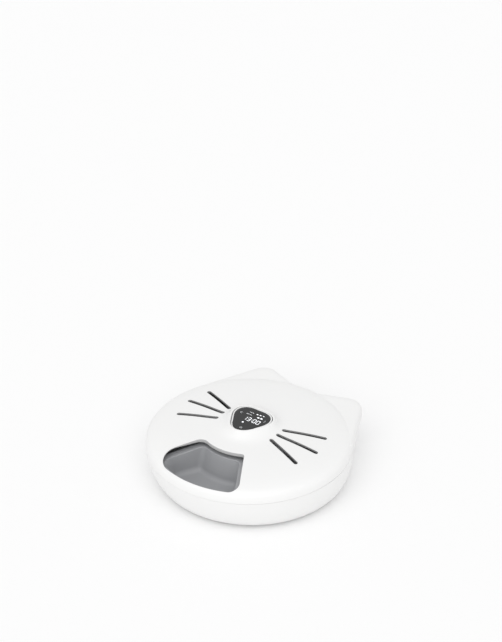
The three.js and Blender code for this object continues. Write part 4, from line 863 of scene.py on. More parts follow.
class FEEDER_OT_lid(bpy.types.Operator):
    """Build the lid's disc with its mouth, nose and whisker slots"""
    bl_idname = "feeder.lid"
    bl_label = "Lid"

    def execute(self, context):
        sizes = context.scene.pet_feeder.lid
        edge, rounding = sizes.mouth_edge / MM, sizes.mouth_fillet / MM
        slot, slot_rounding = sizes.whisker_width / MM / 2, sizes.whisker_fillet / MM
        left = dict(MOUTH, **MOUTH_LEFT)
        # The mouth's wall gets painted shade after its plain rows
        openings = [(lambda grow: slice_outline(MOUTH, FRONT, grow, detail=MOUTH_DETAIL, other_shape=left),
                     rounding, lambda points: mouth_depth(points, edge), CUT_WALL_SHADE_TONE, PLAIN_EDGE_ROWS)]
        # The whisker slots' walls carry painted shade
        for far, near in WHISKERS:
            for side in (1, -1):
                openings.append((lambda grow, a=near, b=far, s=side: slot_outline(a, b, slot + grow, s),
                                 slot_rounding, lambda points: WHISKER_DEPTH, SLOT_SHADE_TONE, 0))
        top_holes = [outline_at(fillet_size) for outline_at, fillet_size, *_ in openings]
        low_holes = [outline_at(FLANGE_WIDTH) for outline_at, *_ in openings]
        outer, inner = circle(LID_SHEET_OUTER), circle(LID_SHEET_INNER)
        skin = Skin()
        sheets = ((top_holes, LID_TOP_SPACING, 0), (low_holes, LID_UNDER_SPACING, LID_WALL))
        for holes, spacing, depth in sheets:
            skin.sheet(outer, holes + [inner], spacing, lambda p: lid_place(p, depth), LID_SHEET_RINGS)
        for opened in openings:
            opening(skin, *opened)
        self.rim(skin)
        self.nose(skin)
        # The second and third materials paint shade on the slots' walls and on the walls of the mouth and the nose
        piece(skin, "lid_disc", "white", "lid", ["lid_shell"], others=("slot_lining", "cut_edge"))
        return {"FINISHED"}

    def rim(self, skin):
        """The shoulder outside the sheets, the rounded rim and the wall inside it."""
        outside = (LID_LINE[:, 0] > LID_SHEET_OUTER + RIM_GAP) & (LID_LINE[:, 1] > LID_EDGE_TOP)
        line = LID_LINE[outside][::-1]
        start = float(lid_height(LID_SHEET_OUTER))
        edge = [(DISC - inset, height) for inset, height in LID_RIM_EDGE]
        levels = np.linspace(start - LID_WALL - LID_INNER_GAP, LID_INNER_LOW, LID_INNER_LEVELS)[::-1]
        inner = [(DISC - LID_WALL, height) for height in levels]
        rows = [(LID_SHEET_OUTER, start), *line, *edge, *inner, (LID_SHEET_OUTER, start - LID_WALL)]
        skin.rows([lid_ring(radius, height) for radius, height in rows])

    def nose(self, skin):
        """The flare inside the sheets, up to the crown, and down the collar inside it, whose wall gets painted
        shade.
        """
        line = LID_LINE[LID_LINE[:, 0] < LID_SHEET_INNER - NOSE_GAP]
        start = float(lid_height(LID_SHEET_INNER))
        under = [(radius, height - LID_WALL) for radius, height in line
                 if height - LID_WALL > NOSE_COLLAR and radius > NOSE_OUTER + UNDER_GAP]
        rows = [(LID_SHEET_INNER, start), *line, *NOSE_CROWN, *NOSE_COLLAR_EDGE, *under[::-1],
                (LID_SHEET_INNER, start - LID_WALL)]
        wall = len(skin.faces) + (len(line) + len(NOSE_CROWN)) * ROUND
        skin.rows([lid_ring(radius, height) for radius, height in rows])
        # The collar's wall gets painted shade
        skin.shaded_faces.append((range(wall, wall + ROUND), CUT_WALL_SHADE_TONE))


# Ears
def ear_outline():
    """The whole ear in plan, with many points along its straight sides."""
    tip, root = polar(EAR_CENTRE, EAR_AZIMUTH), polar(DISC, EAR_ROOT)
    tangent = EAR_AZIMUTH - math.degrees(math.acos((DISC - EAR_TIP) / EAR_CENTRE))
    swing = math.degrees(math.acos(EAR_TIP / np.linalg.norm(root - tip)))
    leave = (azimuth_of(root - tip) - swing) % FULL_TURN
    bend = arc(tip, EAR_TIP, tangent, leave, EAR_BEND_STEPS)
    side = polar(DISC, tangent)
    return np.vstack([np.linspace(polar(EAR_INSIDE, tangent), side, EAR_INNER_POINTS)[:-1],
                      np.linspace(side, bend[0], EAR_SIDE_POINTS)[:-1], bend,
                      np.linspace(bend[-1], root, EAR_SIDE_POINTS)[1:],
                      np.linspace(root, polar(EAR_INSIDE, EAR_ROOT), EAR_INNER_POINTS)[1:]])


EAR_PLAN = ear_outline()


def ear_ring(share, radius, shift, side):
    """The part of an ear outside a circle: its edge, drawn in by share, and back along the circle."""
    anchor = polar(EAR_ANCHOR, EAR_AZIMUTH)
    line = EAR_PLAN + share * (anchor - EAR_PLAN)
    centre = np.array([0, shift])
    reach = np.linalg.norm(line - centre, axis=1) - radius
    outside = np.flatnonzero(reach > 0)
    first, last = outside[0], outside[-1]

    def crossing(a, b):
        return line[a] + reach[a] / (reach[a] - reach[b]) * (line[b] - line[a])

    chain = np.vstack([crossing(first - 1, first), line[first:last + 1], crossing(last, last + 1)])
    lengths = np.r_[0, np.cumsum(np.linalg.norm(np.diff(chain, axis=0), axis=1))]
    at = np.linspace(0, lengths[-1], EAR_EDGE_POINTS)
    edge = np.column_stack([np.interp(at, lengths, chain[:, k]) for k in (0, 1)])
    turn = [azimuth_of(point - centre) for point in (edge[-1], edge[0])]
    closing = arc(centre, radius, *turn, EAR_BACK_STEPS)[1:-1]
    return np.vstack([edge, closing]) * (side, 1)


class FEEDER_OT_lid_ears(bpy.types.Operator):
    """Build the lid's two ears, hollow underneath"""
    bl_idname = "feeder.lid_ears"
    bl_label = "Lid ears"

    def execute(self, context):
        inner = self.levels(LID_WALL / EAR_SPAN, LID_EAR_HEIGHT - LID_WALL, LID_EAR_INNER_SINK)
        outer = self.levels(0, LID_EAR_HEIGHT, LID_EAR_SINK)
        for side, name in ((1, "lid_ear_right"), (-1, "lid_ear_left")):
            rows = [at_height(ear_ring(share, radius, 0, side), LID_RIM + height)
                    for share, height, radius in [*inner[::-1], *outer]]
            skin = Skin()
            skin.rows(rows)
            skin.flats(LID_EAR_SPACING, rows[0], rows[-1])
            piece(skin, name, "white", "lid", sharp=EAR_SHARP)
        return {"FINISHED"}

    @staticmethod
    def levels(inset, tall, sink):
        """An ear's rows: the share drawn in, the height, and the radius inside the disc where it ends."""
        return [(share + inset, rise * tall, lid_radius(rise * tall) - sink)
                for share, rise in rounded_line(LID_EAR_ROWS, 2)]


class FEEDER_OT_lid_tabs(bpy.types.Operator):
    """Build the four tabs inside the lid's rim that drop into the lip's notches"""
    bl_idname = "feeder.lid_tabs"
    bl_label = "Lid tabs"

    def execute(self, context):
        skin = Skin()
        half, inner, outer = NOTCH_WIDTH / 2 - TAB_SLIP, DISC - LID_WALL - TAB_DEPTH, DISC - LID_WALL / 2
        corners = np.array([(inner, -half), (outer, -half), (outer, half), (inner, half)])
        middle = corners.mean(axis=0)
        for azimuth in around(NOTCHES):
            skin.closed([at_height(turned(middle + (corners - middle) * share, azimuth), LID_RIM + height)
                         for share, height in TAB_LEVELS])
        piece(skin, "lid_tabs", "white", "lid", sharp=SMALL_SHARP)
        return {"FINISHED"}


# Tray
def tray_height(points):
    """The tray's top is level in the middle, bends, and slopes down to the rim."""
    fall = np.maximum(np.linalg.norm(points, axis=1) - TRAY_FLAT, 0)
    slope = TRAY_DROP / (TRAY_RIM - TRAY_FLAT)
    return TRAY_TOP - slope * np.where(fall < TRAY_EASE, fall ** 2 / (2 * TRAY_EASE), fall - TRAY_EASE / 2)


def on_tray(points, depth=0.0):
    """Puts plane points on the tray's top, or a depth below it."""
    return at_height(points, tray_height(points) - depth)


def in_well(points, down):
    """Puts a well's row at a depth: it follows the sloping top at first, and is level further down."""
    blend = min(1.0, down / TRAY_LEVEL_DEPTH)
    return at_height(points, tray_height(points) * (1 - blend) + TRAY_TOP * blend - down)


def well_shape(down):
    """A well's shape at a depth: it draws in as it goes down."""
    draft = np.interp(down, DRAFT_DEPTHS, DRAFT_SHARES)
    inner, outer, gap = (share * draft for share in WELL_DRAFTS)
    return dict(WELL, inner=WELL["inner"] + inner, outer=WELL["outer"] - outer, gap=WELL["gap"] + gap)


def cup_outline(azimuth, down, inset):
    """The outside of a well at a depth under the tray."""
    outer = float(np.interp(TRAY_TOP - down, *zip(*CUPS))) - WELL_WALL
    return slice_outline(dict(well_shape(down), outer=outer), azimuth, WELL_WALL - inset)


class FEEDER_OT_tray(bpy.types.Operator):
    """Build the tray with its six wells, sloping rim and scalloped skirt"""
    bl_idname = "feeder.tray"
    bl_label = "Food tray"

    def execute(self, context):
        sizes = context.scene.pet_feeder.tray
        rim, low, hole = (value / MM for value in (sizes.rim_fillet, sizes.floor_fillet, sizes.hole_fillet))
        skin = Skin()
        azimuths = FRONT + around(WELLS)
        edges = [slice_outline(WELL, azimuth, rim) for azimuth in azimuths]
        edges.append(circle(TRAY_HOLE + hole))
        skin.sheet(circle(TRAY_RIM), edges, TRAY_SPACING, on_tray)
        for azimuth in azimuths:
            self.well(skin, azimuth, rim, low)
        cups = [slice_outline(dict(WELL, outer=CUP_TOP_RADIUS), azimuth, WELL_WALL) for azimuth in azimuths]
        skin.sheet(circle(TRAY_UNDER_RIM), cups + [circle(TRAY_HOLE)], UNDER_SPACING,
                   lambda p: on_tray(p, TRAY_PLATE))
        for azimuth, start in zip(azimuths, cups):
            self.cup(skin, azimuth, start)
        self.skirt(skin)
        skin.lathe([(TRAY_HOLE + out, TRAY_TOP - down) for out, down in fillet(hole)]
                   + [(TRAY_HOLE, TRAY_TOP - TRAY_PLATE)])
        piece(skin, "food_tray_shell", "tray_grey", "tray", ["food_tray"])
        return {"FINISHED"}

    def well(self, skin, azimuth, rim, low):
        """The inside of a well, down to its floor."""
        foot = WELL_FLOOR - low
        rows = [in_well(slice_outline(WELL, azimuth, out), down) for out, down in fillet(rim)]
        rows += [in_well(slice_outline(well_shape(down), azimuth), down)
                 for down in np.linspace(rim + WELL_EDGE, foot, WELL_LEVELS)]
        for rise, inset in fillet(low, WELL_BEND_STEPS)[1:]:
            outline = slice_outline(well_shape(foot), azimuth, -inset * WELL_BEND_SHARE)
            rows.append(in_well(outline, WELL_FLOOR - rise))
        skin.rows(rows)
        skin.flats(WELL_SPACING, rows[-1])

    def cup(self, skin, azimuth, start):
        """The outside of a well under the tray, down to its rounded foot."""
        depth = TRAY_TOP - TRAY_BOTTOM
        foot = depth - CUP_FOOT
        rows = [on_tray(start, TRAY_PLATE)]
        rows += [at_height(cup_outline(azimuth, down, 0), TRAY_TOP - down)
                 for down in np.linspace(CUP_START, foot, CUP_LEVELS)]
        rows += [at_height(cup_outline(azimuth, foot, inset), TRAY_TOP - (depth - rise))
                 for rise, inset in fillet(CUP_FOOT)[1:]]
        skin.rows(rows)
        skin.flats(CUP_SPACING, rows[-1])

    def skirt(self, skin):
        """The outer wall, whose lower edge rises a little between the wells."""
        lift = SKIRT_LIFT * (0.5 - 0.5 * np.cos(np.radians(WELLS * (around(ROUND) - FRONT))))
        line = rounded_line(TRAY_SKIRT, 2)
        low = line[-1, 1] + SKIRT_INNER_GAP
        inner = [line[-1], *[point for point in line[::-1] if low < point[1] < SKIRT_INNER_TOP]]
        rows = [on_tray(circle(TRAY_RIM))]
        for radius, height in [*line[1:], *[(radius - WELL_WALL, height) for radius, height in inner]]:
            share = np.clip((SKIRT_LIFT_TOP - height) / SKIRT_LIFT_DEPTH, 0, 1)
            rows.append(at_height(circle(radius), height + lift * share))
        skin.rows([*rows, on_tray(circle(TRAY_UNDER_RIM), TRAY_PLATE)])


# Ice packs
def hump(distance, width, sharpness):
    """A soft-edged hump: 1 along its middle and 0 outside its width."""
    return np.clip(sharpness * np.cos(np.clip(distance / width, -1, 1) * QUARTER), 0, 1)


def pack_outer(azimuth):
    """Outer radius of a pack, scooped out twice near the ear."""
    radius = np.full(np.shape(azimuth), ICE_OUTER)
    for middle, half, depth in SCOOPS:
        radius -= depth * hump(azimuth - middle, half, SCOOP_SHARPNESS)
    return radius


def groove_bend(azimuth):
    """How far the outer groove bends inwards, past the scoops."""
    rise = np.clip((azimuth - BEND_AZIMUTHS[0]) / (BEND_AZIMUTHS[1] - BEND_AZIMUTHS[0]), 0, 1)
    fall = np.clip((BEND_AZIMUTHS[3] - azimuth) / (BEND_AZIMUTHS[3] - BEND_AZIMUTHS[2]), 0, 1)
    share = np.minimum(rise, fall)
    return BEND * share * share * (3 - 2 * share)


def in_corner(first, second, rounding):
    """Distance inside two edges whose corner is rounded."""
    square = np.minimum(first, second)
    near = (first < rounding) & (second < rounding)
    bent = rounding - np.hypot(rounding - first, rounding - second)
    return np.where(near, np.minimum(bent, square), square)


class FEEDER_OT_ice_packs(bpy.types.Operator):
    """Build both ice packs with their grooves and pressed dimples"""
    bl_idname = "feeder.ice_packs"
    bl_label = "Ice packs"

    def execute(self, context):
        sizes = context.scene.pet_feeder.packs
        marks = [value / MM for value in (sizes.groove_width, sizes.groove_depth, sizes.edge, sizes.dimple)]
        for side, name in ((1, "right"), (-1, "left")):
            self.pack(side, name, *marks)
            self.gel(side, name)
        return {"FINISHED"}

    def gel(self, side, name):
        """The gel inside a pack, which keeps one wall away from its edges and scoops."""
        low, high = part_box("ice_gel_" + name)
        floor, top = low.z / MM, high.z / MM
        reach = RIGHT_ANGLE - math.degrees((ICE_GAP + PACK_WALL) / ICE_INNER)
        azimuths = np.linspace(-1, 1, GEL_COLUMNS) * reach
        outer = pack_outer(azimuths) - PACK_WALL
        steps = int(round(math.degrees(PACK_WALL / ICE_OUTER) / (azimuths[1] - azimuths[0])))
        nearest = np.min([np.roll(outer, step) for step in range(-steps, steps + 1)], axis=0)
        inner = polar(np.full(len(azimuths), ICE_INNER + PACK_WALL), azimuths)
        plan = np.vstack([inner, polar(nearest, azimuths)[::-1]]) * (side, 1)
        inward = self.inward(plan)
        levels = [(GEL_EDGE, floor), (0, floor + GEL_EDGE), (0, top - GEL_EDGE), (GEL_EDGE, top)]
        skin = Skin()
        rows = [at_height(plan + inward * inset, height) for inset, height in levels]
        skin.rows(rows)
        skin.flats(PACK_SPACING, rows[0], rows[-1])
        piece(skin, f"ice_gel_{name}_fill", "gel", "ice_" + name, ["ice_gel_" + name])

    def pack(self, side, name, groove, depth, edge, dimple):
        """A pack's shell: the pressed top, whose grooves and dimples get a painted shade, the walls and the
        bottom.
        """
        x, y, rim, end = self.grid(edge)
        gap = np.clip(in_corner(rim, end, ICE_CORNER), 0, None)
        drop = edge - np.sqrt(np.clip(edge ** 2 - np.clip(edge - gap, 0, edge) ** 2, 0, None))
        pressed = self.pressed(x, y, end, groove, dimple)
        top = np.stack([x * side, y, ICE_TOP - drop - depth * pressed], axis=-1)
        skin = Skin()
        skin.rows(top, closed=False)
        mean = (pressed[:-1, :-1] + pressed[1:, :-1] + pressed[:-1, 1:] + pressed[1:, 1:]) / 4
        # Pressed faces get the darker blue as painted shade
        skin.shaded_faces.append((np.flatnonzero(mean.ravel() > GROOVE_SHADE_FROM), 1))
        outline = np.vstack([top[0], top[1:-1, -1], top[-1, ::-1], top[-2:0:-1, 0]])
        plan = outline[:, :2]
        inward = self.inward(plan) * PACK_FOOT_SHARE
        wall = (ICE_TOP - edge - PACK_SHOULDER, ICE_LOW + edge)
        rows = [outline] + [at_height(plan, height) for height in wall]
        rows += [at_height(plan + inward * out, ICE_LOW + down)
                 for out, down in fillet(edge / 2, PACK_FOOT_STEPS)[::-1]]
        skin.rows(rows)
        skin.flats(PACK_SPACING, rows[-1])
        # The second material paints shade in the grooves and dimples
        piece(skin, f"ice_pack_{name}_shell", "pack_blue", "ice_" + name, ["ice_pack_" + name],
              others=("pack_groove",))

    @staticmethod
    def grid(edge):
        """Places of the top's points, and how far each lies from the round edges and from the end."""
        width = ICE_OUTER - ICE_INNER
        steps = np.unique(np.r_[np.linspace(0, edge, PACK_EDGE_LINES),
                                np.linspace(edge, width - edge, PACK_LINES),
                                width - np.linspace(edge, 0, PACK_EDGE_LINES)])
        share, across = np.meshgrid(np.linspace(-1, 1, PACK_COLUMNS), steps / width)
        outer = pack_outer(share * RIGHT_ANGLE)
        radius = ICE_INNER + across * (outer - ICE_INNER)
        rim = np.minimum(radius - ICE_INNER, outer - radius)
        corner = np.clip(ICE_CORNER - rim, 0, ICE_CORNER)
        cut = ICE_GAP + ICE_CORNER - np.sqrt(ICE_CORNER ** 2 - corner ** 2)
        azimuth = np.radians(share * (RIGHT_ANGLE - np.degrees(np.arcsin(cut / radius))))
        x, y = radius * np.cos(azimuth), radius * np.sin(azimuth)
        return x, y, rim, x - ICE_GAP

    @staticmethod
    def pressed(x, y, end, groove, dimple):
        """How far points are pressed in, from 0 to 1: by the groove all round, pinch lines and dimples."""
        radius, azimuth = np.hypot(x, y), np.degrees(np.arctan2(y, x))
        inner = radius - ICE_INNER - GROOVE_INSETS["inner"]
        outer = ICE_OUTER - GROOVE_INSETS["outer"] - groove_bend(azimuth) - radius
        loop = in_corner(np.minimum(inner, outer), end - GROOVE_INSETS["end"], GROOVE_CORNER)
        pressed = hump(loop, groove, GROOVE_SHARPNESS)
        for place in DIMPLES:
            along = np.radians(azimuth - FRONT - place) * radius
            pinch = hump(along, groove * PINCH_WIDTH, GROOVE_SHARPNESS) * (loop > 0)
            bowl = np.clip((dimple - np.hypot(along, radius - DIMPLE_RADIUS)) * DIMPLE_SHARPNESS, 0, 1)
            pressed = np.maximum(pressed, np.maximum(pinch, bowl))
        return pressed

    @staticmethod
    def inward(plan):
        """Unit steps from an outline towards its inside."""
        along = np.roll(plan, -1, 0) - np.roll(plan, 1, 0)
        normal = np.column_stack([-along[:, 1], along[:, 0]])
        normal /= np.maximum(np.linalg.norm(normal, axis=1), TINY)[:, None]
        probe = inside(plan[::PROBE_EVERY] + normal[::PROBE_EVERY] * PROBE_STEP, plan)
        return normal if probe.mean() > 0.5 else -normal


# Base
BOWL_LINE = rounded_line(BOWL, 2)


def bowl_shift(height):
    """How far the bowl's wall stands back from the hub's axis, from none at the lip."""
    return BACK_SHIFT * np.clip((LIP_TOP - height) / (LIP_TOP - FULL_SHIFT), 0, 1)


def bowl_radius(height):
    rows = BOWL_LINE[BOWL_LINE[:, 1] > BOWL_LEVEL]
    return np.interp(height, rows[:, 1], rows[:, 0])


class FEEDER_OT_base(bpy.types.Operator):
    """Build the bowl of the base with its notched lip, floor, flange and drum"""
    bl_idname = "feeder.base"
    bl_label = "Base bowl"

    def execute(self, context):
        sizes = context.scene.pet_feeder.base
        half = math.degrees(NOTCH_WIDTH / 2 / LIP_OUTER)
        corner = RIGHT_ANGLE / 2
        marks = [place + side * (half + slip) for place in around(NOTCHES) for side in (-1, 1)
                 for slip in (-NOTCH_SLIP, NOTCH_SLIP)]
        azimuths = np.unique(np.round(np.r_[around(BOWL_POINTS), np.array(marks) % FULL_TURN], 5))
        notched = np.abs((azimuths + corner) % RIGHT_ANGLE - corner) < half

        def ring(radius, height, shift=0.0, lip=False):
            top = np.where(notched, np.minimum(height, LIP_STEP), height) if lip else height
            return at_height(polar(np.full(len(azimuths), float(radius)), azimuths) + (0, shift), top)

        rows = [ring(radius, height, bowl_shift(height) * np.clip((radius - FOOT_RADIUS) / FOOT_EASE, 0, 1))
                for radius, height in BOWL_LINE]
        rows += [ring(radius, height) for radius, height in SHELF]
        bead = (LIP_OUTER - LIP_INNER) / 2
        crown = [(LIP_INNER + bead * (1 + math.cos(angle)), LIP_TOP - bead * (1 - math.sin(angle)))
                 for angle in np.linspace(0, math.pi, LIP_POINTS)]
        rows += [ring(radius, height, 0, True) for radius, height in (LIP_FOOT, *crown, LIP_INNER_FOOT)]
        rounding = sizes.floor_fillet / MM
        for height in np.linspace(INNER_WALL_TOP, FLOOR + rounding, INNER_WALL_LEVELS):
            rows.append(ring(min(bowl_radius(height) - BOWL_WALL, LIP_INNER), height, bowl_shift(height)))
        foot = bowl_radius(FLOOR + rounding) - BOWL_WALL
        for rise, inset in fillet(rounding, FLOOR_BEND_STEPS)[1:]:
            rows.append(ring(foot - inset, FLOOR + rise, bowl_shift(FLOOR + rise)))
        rows.append(ring(FLOOR_RING, FLOOR, FLOOR_RING_SHIFT))
        rows += [ring(radius, height) for radius, height in FLOOR_TO_DRUM]
        skin = Skin()
        skin.rows(rows)
        piece(skin, "base_bowl", "white", "base", ["base_shell"])
        self.rib(sizes.rib_height / MM)
        return {"FINISHED"}

    def rib(self, height):
        """The rib that locates the packs, bevelled at its top."""
        skin = Skin()
        corners = np.array(RIB_CORNERS)
        middle = corners.mean(axis=0)
        levels = [((1, 1), FLOOR - RIB_SINK), ((1, 1), FLOOR + height - RIB_BEVEL),
                  (RIB_TOP_SHARES, FLOOR + height)]
        skin.closed([at_height(middle + (corners - middle) * shares, top) for shares, top in levels])
        piece(skin, "base_rib", "white", "base", sharp=SMALL_SHARP)


class FEEDER_OT_base_ears(bpy.types.Operator):
    """Build the base's two ears, each with its sunken shelf behind the lip"""
    bl_idname = "feeder.base_ears"
    bl_label = "Base ears"

    def execute(self, context):
        reaches = rounded_line(EAR_REACHES, 2)
        full = (EAR_CENTRE + EAR_TIP) / EAR_SPAN
        levels = [(height, 0, EAR_SINK) for height, _ in reaches if height < LIP_STEP - EAR_TOP_GAP]
        for side, name in ((1, "base_ear_right"), (-1, "base_ear_left")):
            rows = []
            for height, inset, sink in (*levels, *EAR_TOP_ROWS):
                share = (1 - float(np.interp(height, reaches[:, 0], reaches[:, 1]))) * full
                radius = bowl_radius(height) - sink
                outline = ear_ring(share + inset / EAR_SPAN, radius, bowl_shift(height), side)
                rows.append(at_height(outline, height))
            skin = Skin()
            skin.rows(rows)
            skin.flats(EAR_SPACING, rows[-1], rows[0])
            piece(skin, name, "white", "base")
        return {"FINISHED"}


# Hub
def key_outline(azimuths):
    """Radius of the collar at each azimuth: round, with the key swelling out of it."""
    turn = np.abs((azimuths - KEY_AZIMUTH + HALF_TURN) % FULL_TURN - HALF_TURN)
    sine, cosine = np.sin(np.radians(turn)), np.cos(np.radians(turn))
    under = np.clip(KEY_RADIUS ** 2 - (KEY_CENTRE * sine) ** 2, 0, None)
    valid = (KEY_CENTRE * sine < KEY_RADIUS) & (turn < RIGHT_ANGLE)
    reach = np.where(valid, KEY_CENTRE * cosine + np.sqrt(under), 0)
    return (DRUM ** KEY_SHARPNESS + reach ** KEY_SHARPNESS) ** (1 / KEY_SHARPNESS)


def hexagon(radius, sharpness, height):
    """A hexagon with soft corners, in rings of equal count."""
    azimuths = around(ROUND)
    turn = np.radians(np.abs((azimuths + HALF_SIDE) % (2 * HALF_SIDE) - HALF_SIDE))
    flat = radius * math.cos(math.radians(HALF_SIDE)) / np.cos(math.radians(HALF_SIDE) - turn)
    bulge = (flat ** -sharpness + (radius * BOSS_CORNER_REACH) ** -sharpness) ** (-1 / sharpness)
    return at_height(polar(bulge, azimuths), height)


class FEEDER_OT_turntable(bpy.types.Operator):
    """Build the turntable with its six-sided boss and rounded key"""
    bl_idname = "feeder.turntable"
    bl_label = "Turntable"

    def execute(self, context):
        rounding = context.scene.pet_feeder.base.collar_fillet / MM
        azimuths = around(ROUND)
        edge = np.minimum(key_outline(azimuths), ICE_INNER - COLLAR_CLEARANCE)

        def ring(inset, height):
            return at_height(polar(edge - inset, azimuths), height)

        skin = Skin()
        rows = [ring(inset, COLLAR_LOW + rise) for inset, rise in COLLAR_EDGE]
        rows += [ring(down, COLLAR_TOP - out) for out, down in fillet(rounding)]
        skin.rows(rows)
        boss = [hexagon(*row) for row in BOSS_ROWS]
        skin.rows(boss)
        skin.sheet(rows[-1][:, :2], [boss[0][:, :2]], TOP_SPACING, level(COLLAR_TOP))
        bore = [(BORE + out, BOSS_TOP - down) for out, down in fillet(BORE_EDGE)]
        skin.sheet(boss[-1][:, :2], [circle(bore[0][0])], TOP_SPACING, level(BOSS_TOP))
        skin.lathe([*bore, (BORE, COLLAR_CEILING), (BORE + BORE_WALL, COLLAR_CEILING)])
        inner = at_height(circle(BORE + BORE_WALL), COLLAR_CEILING)
        skin.rows([inner, ring(COLLAR_EDGE[0][0], COLLAR_CEILING), rows[0]])
        piece(skin, "turntable_top", "white", "turntable", ["turntable"])
        return {"FINISHED"}


def tilted(height, share=1.0):
    """Puts plane points on the slope of the pod's head, or on a share of that slope."""
    return lambda points: at_height(points, height + share * POD_TILT * points[:, 1])


class FEEDER_OT_pod(bpy.types.Operator):
    """Build the fixed post's disc, neck and tilted head"""
    bl_idname = "feeder.pod"
    bl_label = "Display pod"

    def execute(self, context):
        levels = [(radius, height, 0) for radius, height in POD_PROFILE]
        levels += [(POD_OUTLINE * radius, NECK_LOW + rise * (POD_TOP - NECK_LOW), np.clip(rise, 0, 1))
                   for radius, rise in rounded_line(NECK, 2)]
        levels += [(POD_OUTLINE - inset, POD_TOP - down, 1) for inset, down in HEAD_EDGE]
        levels += [(radius, height, 0) for radius, height in POD_INSIDE]
        azimuths = around(POD_POINTS)
        skin = Skin()
        skin.rows([tilted(height, share)(nose_outline(radius, share, azimuths))
                   for radius, height, share in levels])
        piece(skin, "pod_body", "white", "base", ["display_pod"])
        self.window()
        return {"FINISHED"}

    def window(self):
        """The display's glass, with its rounded edge."""
        rows = [(nose_outline(radius, 1, around(WINDOW_POINTS)), height) for radius, height in WINDOW_ROWS]
        skin = Skin()
        skin.rows([tilted(height)(outline) for outline, height in rows])
        for outline, height in (rows[0], rows[-1]):
            skin.sheet(outline, [], WINDOW_SPACING, tilted(height))
        piece(skin, "window_glass", "window_black", "base", ["display_window"])


class FEEDER_OT_display(bpy.types.Operator):
    """Build the lit digits and small signs of the display"""
    bl_idname = "feeder.display"
    bl_label = "Display marks"

    def execute(self, context):
        settings = context.scene.pet_feeder
        tall, stroke = settings.display.digit_height / MM, settings.display.stroke / MM
        lit = glowing("finish_lit", settings.finishes.lit, settings.display.glow)
        marks = {"display_digits": self.digits(tall, stroke), "display_signs": self.signs(stroke)}
        for name, skin in marks.items():
            piece(skin, name, "window_black", "base", sharp=SMALL_SHARP, finish=lit)
        return {"FINISHED"}

    def signs(self, stroke):
        """Small signs: two rows of ticks, six blobs and three round icons."""
        skin = Skin()
        for low, places in TICK_ROWS:
            for x in places:
                self.bar(skin, (x, low), (x + TICK_LEAN, low + TICK_HEIGHT), stroke * TICK_STROKE)
        for x, y, wide, high in BLOBS:
            self.slab(skin, (x, y) + polar(0.5, around(BLOB_POINTS)) * (wide, high))
        for x, y, start, end in ICONS:
            for turn in np.arange(start, end, ICON_TURN):
                a, b = arc((x, y), ICON_RADIUS, turn, turn + ICON_TURN, 1)
                self.bar(skin, a, b, stroke * ICON_STROKE)
        return skin

    def digits(self, tall, stroke):
        """The time in seven-bar digits, with a colon in the middle."""
        skin = Skin()
        x = DIGITS_LEFT
        for i, figure in enumerate(READING):
            if i == COLON_BEFORE:
                for share in COLON_PLACES:
                    dot = polar(stroke * COLON_RADIUS, around(COLON_POINTS))
                    self.slab(skin, (x + stroke, DIGITS_LOW + share * tall) + dot)
                x += stroke * COLON_STEP
            for key in DIGITS[figure]:
                start, end = ((x + across * (tall * DIGIT_WIDTH), DIGITS_LOW + up * tall / 2)
                              for across, up in SEGMENTS[key])
                self.bar(skin, start, end, stroke)
            x += tall * DIGIT_STEP
        return skin

    def bar(self, skin, start, end, width):
        """One flat lit bar with pointed ends."""
        start, end = np.asarray(start, float), np.asarray(end, float)
        along = (end - start) / np.linalg.norm(end - start)
        start, end = start + along * BAR_GAP, end - along * BAR_GAP
        across = np.array([-along[1], along[0]]) * width / 2
        trim = along * min(width / 2, np.linalg.norm(end - start) * BAR_TRIM)
        self.slab(skin, np.array([start, start + trim - across, end - trim - across, end,
                                  end - trim + across, start + trim + across]))

    @staticmethod
    def slab(skin, outline):
        """A thin mark in the glass."""
        skin.closed([tilted(GLASS_TOP + lift)(outline) for lift in MARK_LIFTS])


class FEEDER_OT_inner_parts(bpy.types.Operator):
    """Give every CAD part that stays its own finish"""
    bl_idname = "feeder.inner_parts"
    bl_label = "Inner parts"

    def execute(self, context):
        slots = {part["node"]: part["material_slot"] for part in frame["record"]["subparts"]}
        for name, node in frame["nodes"].items():
            if not node.hide_render:
                node.data.materials.clear()
                node.data.materials.append(material_for(slots[name]))
        return {"FINISHED"}


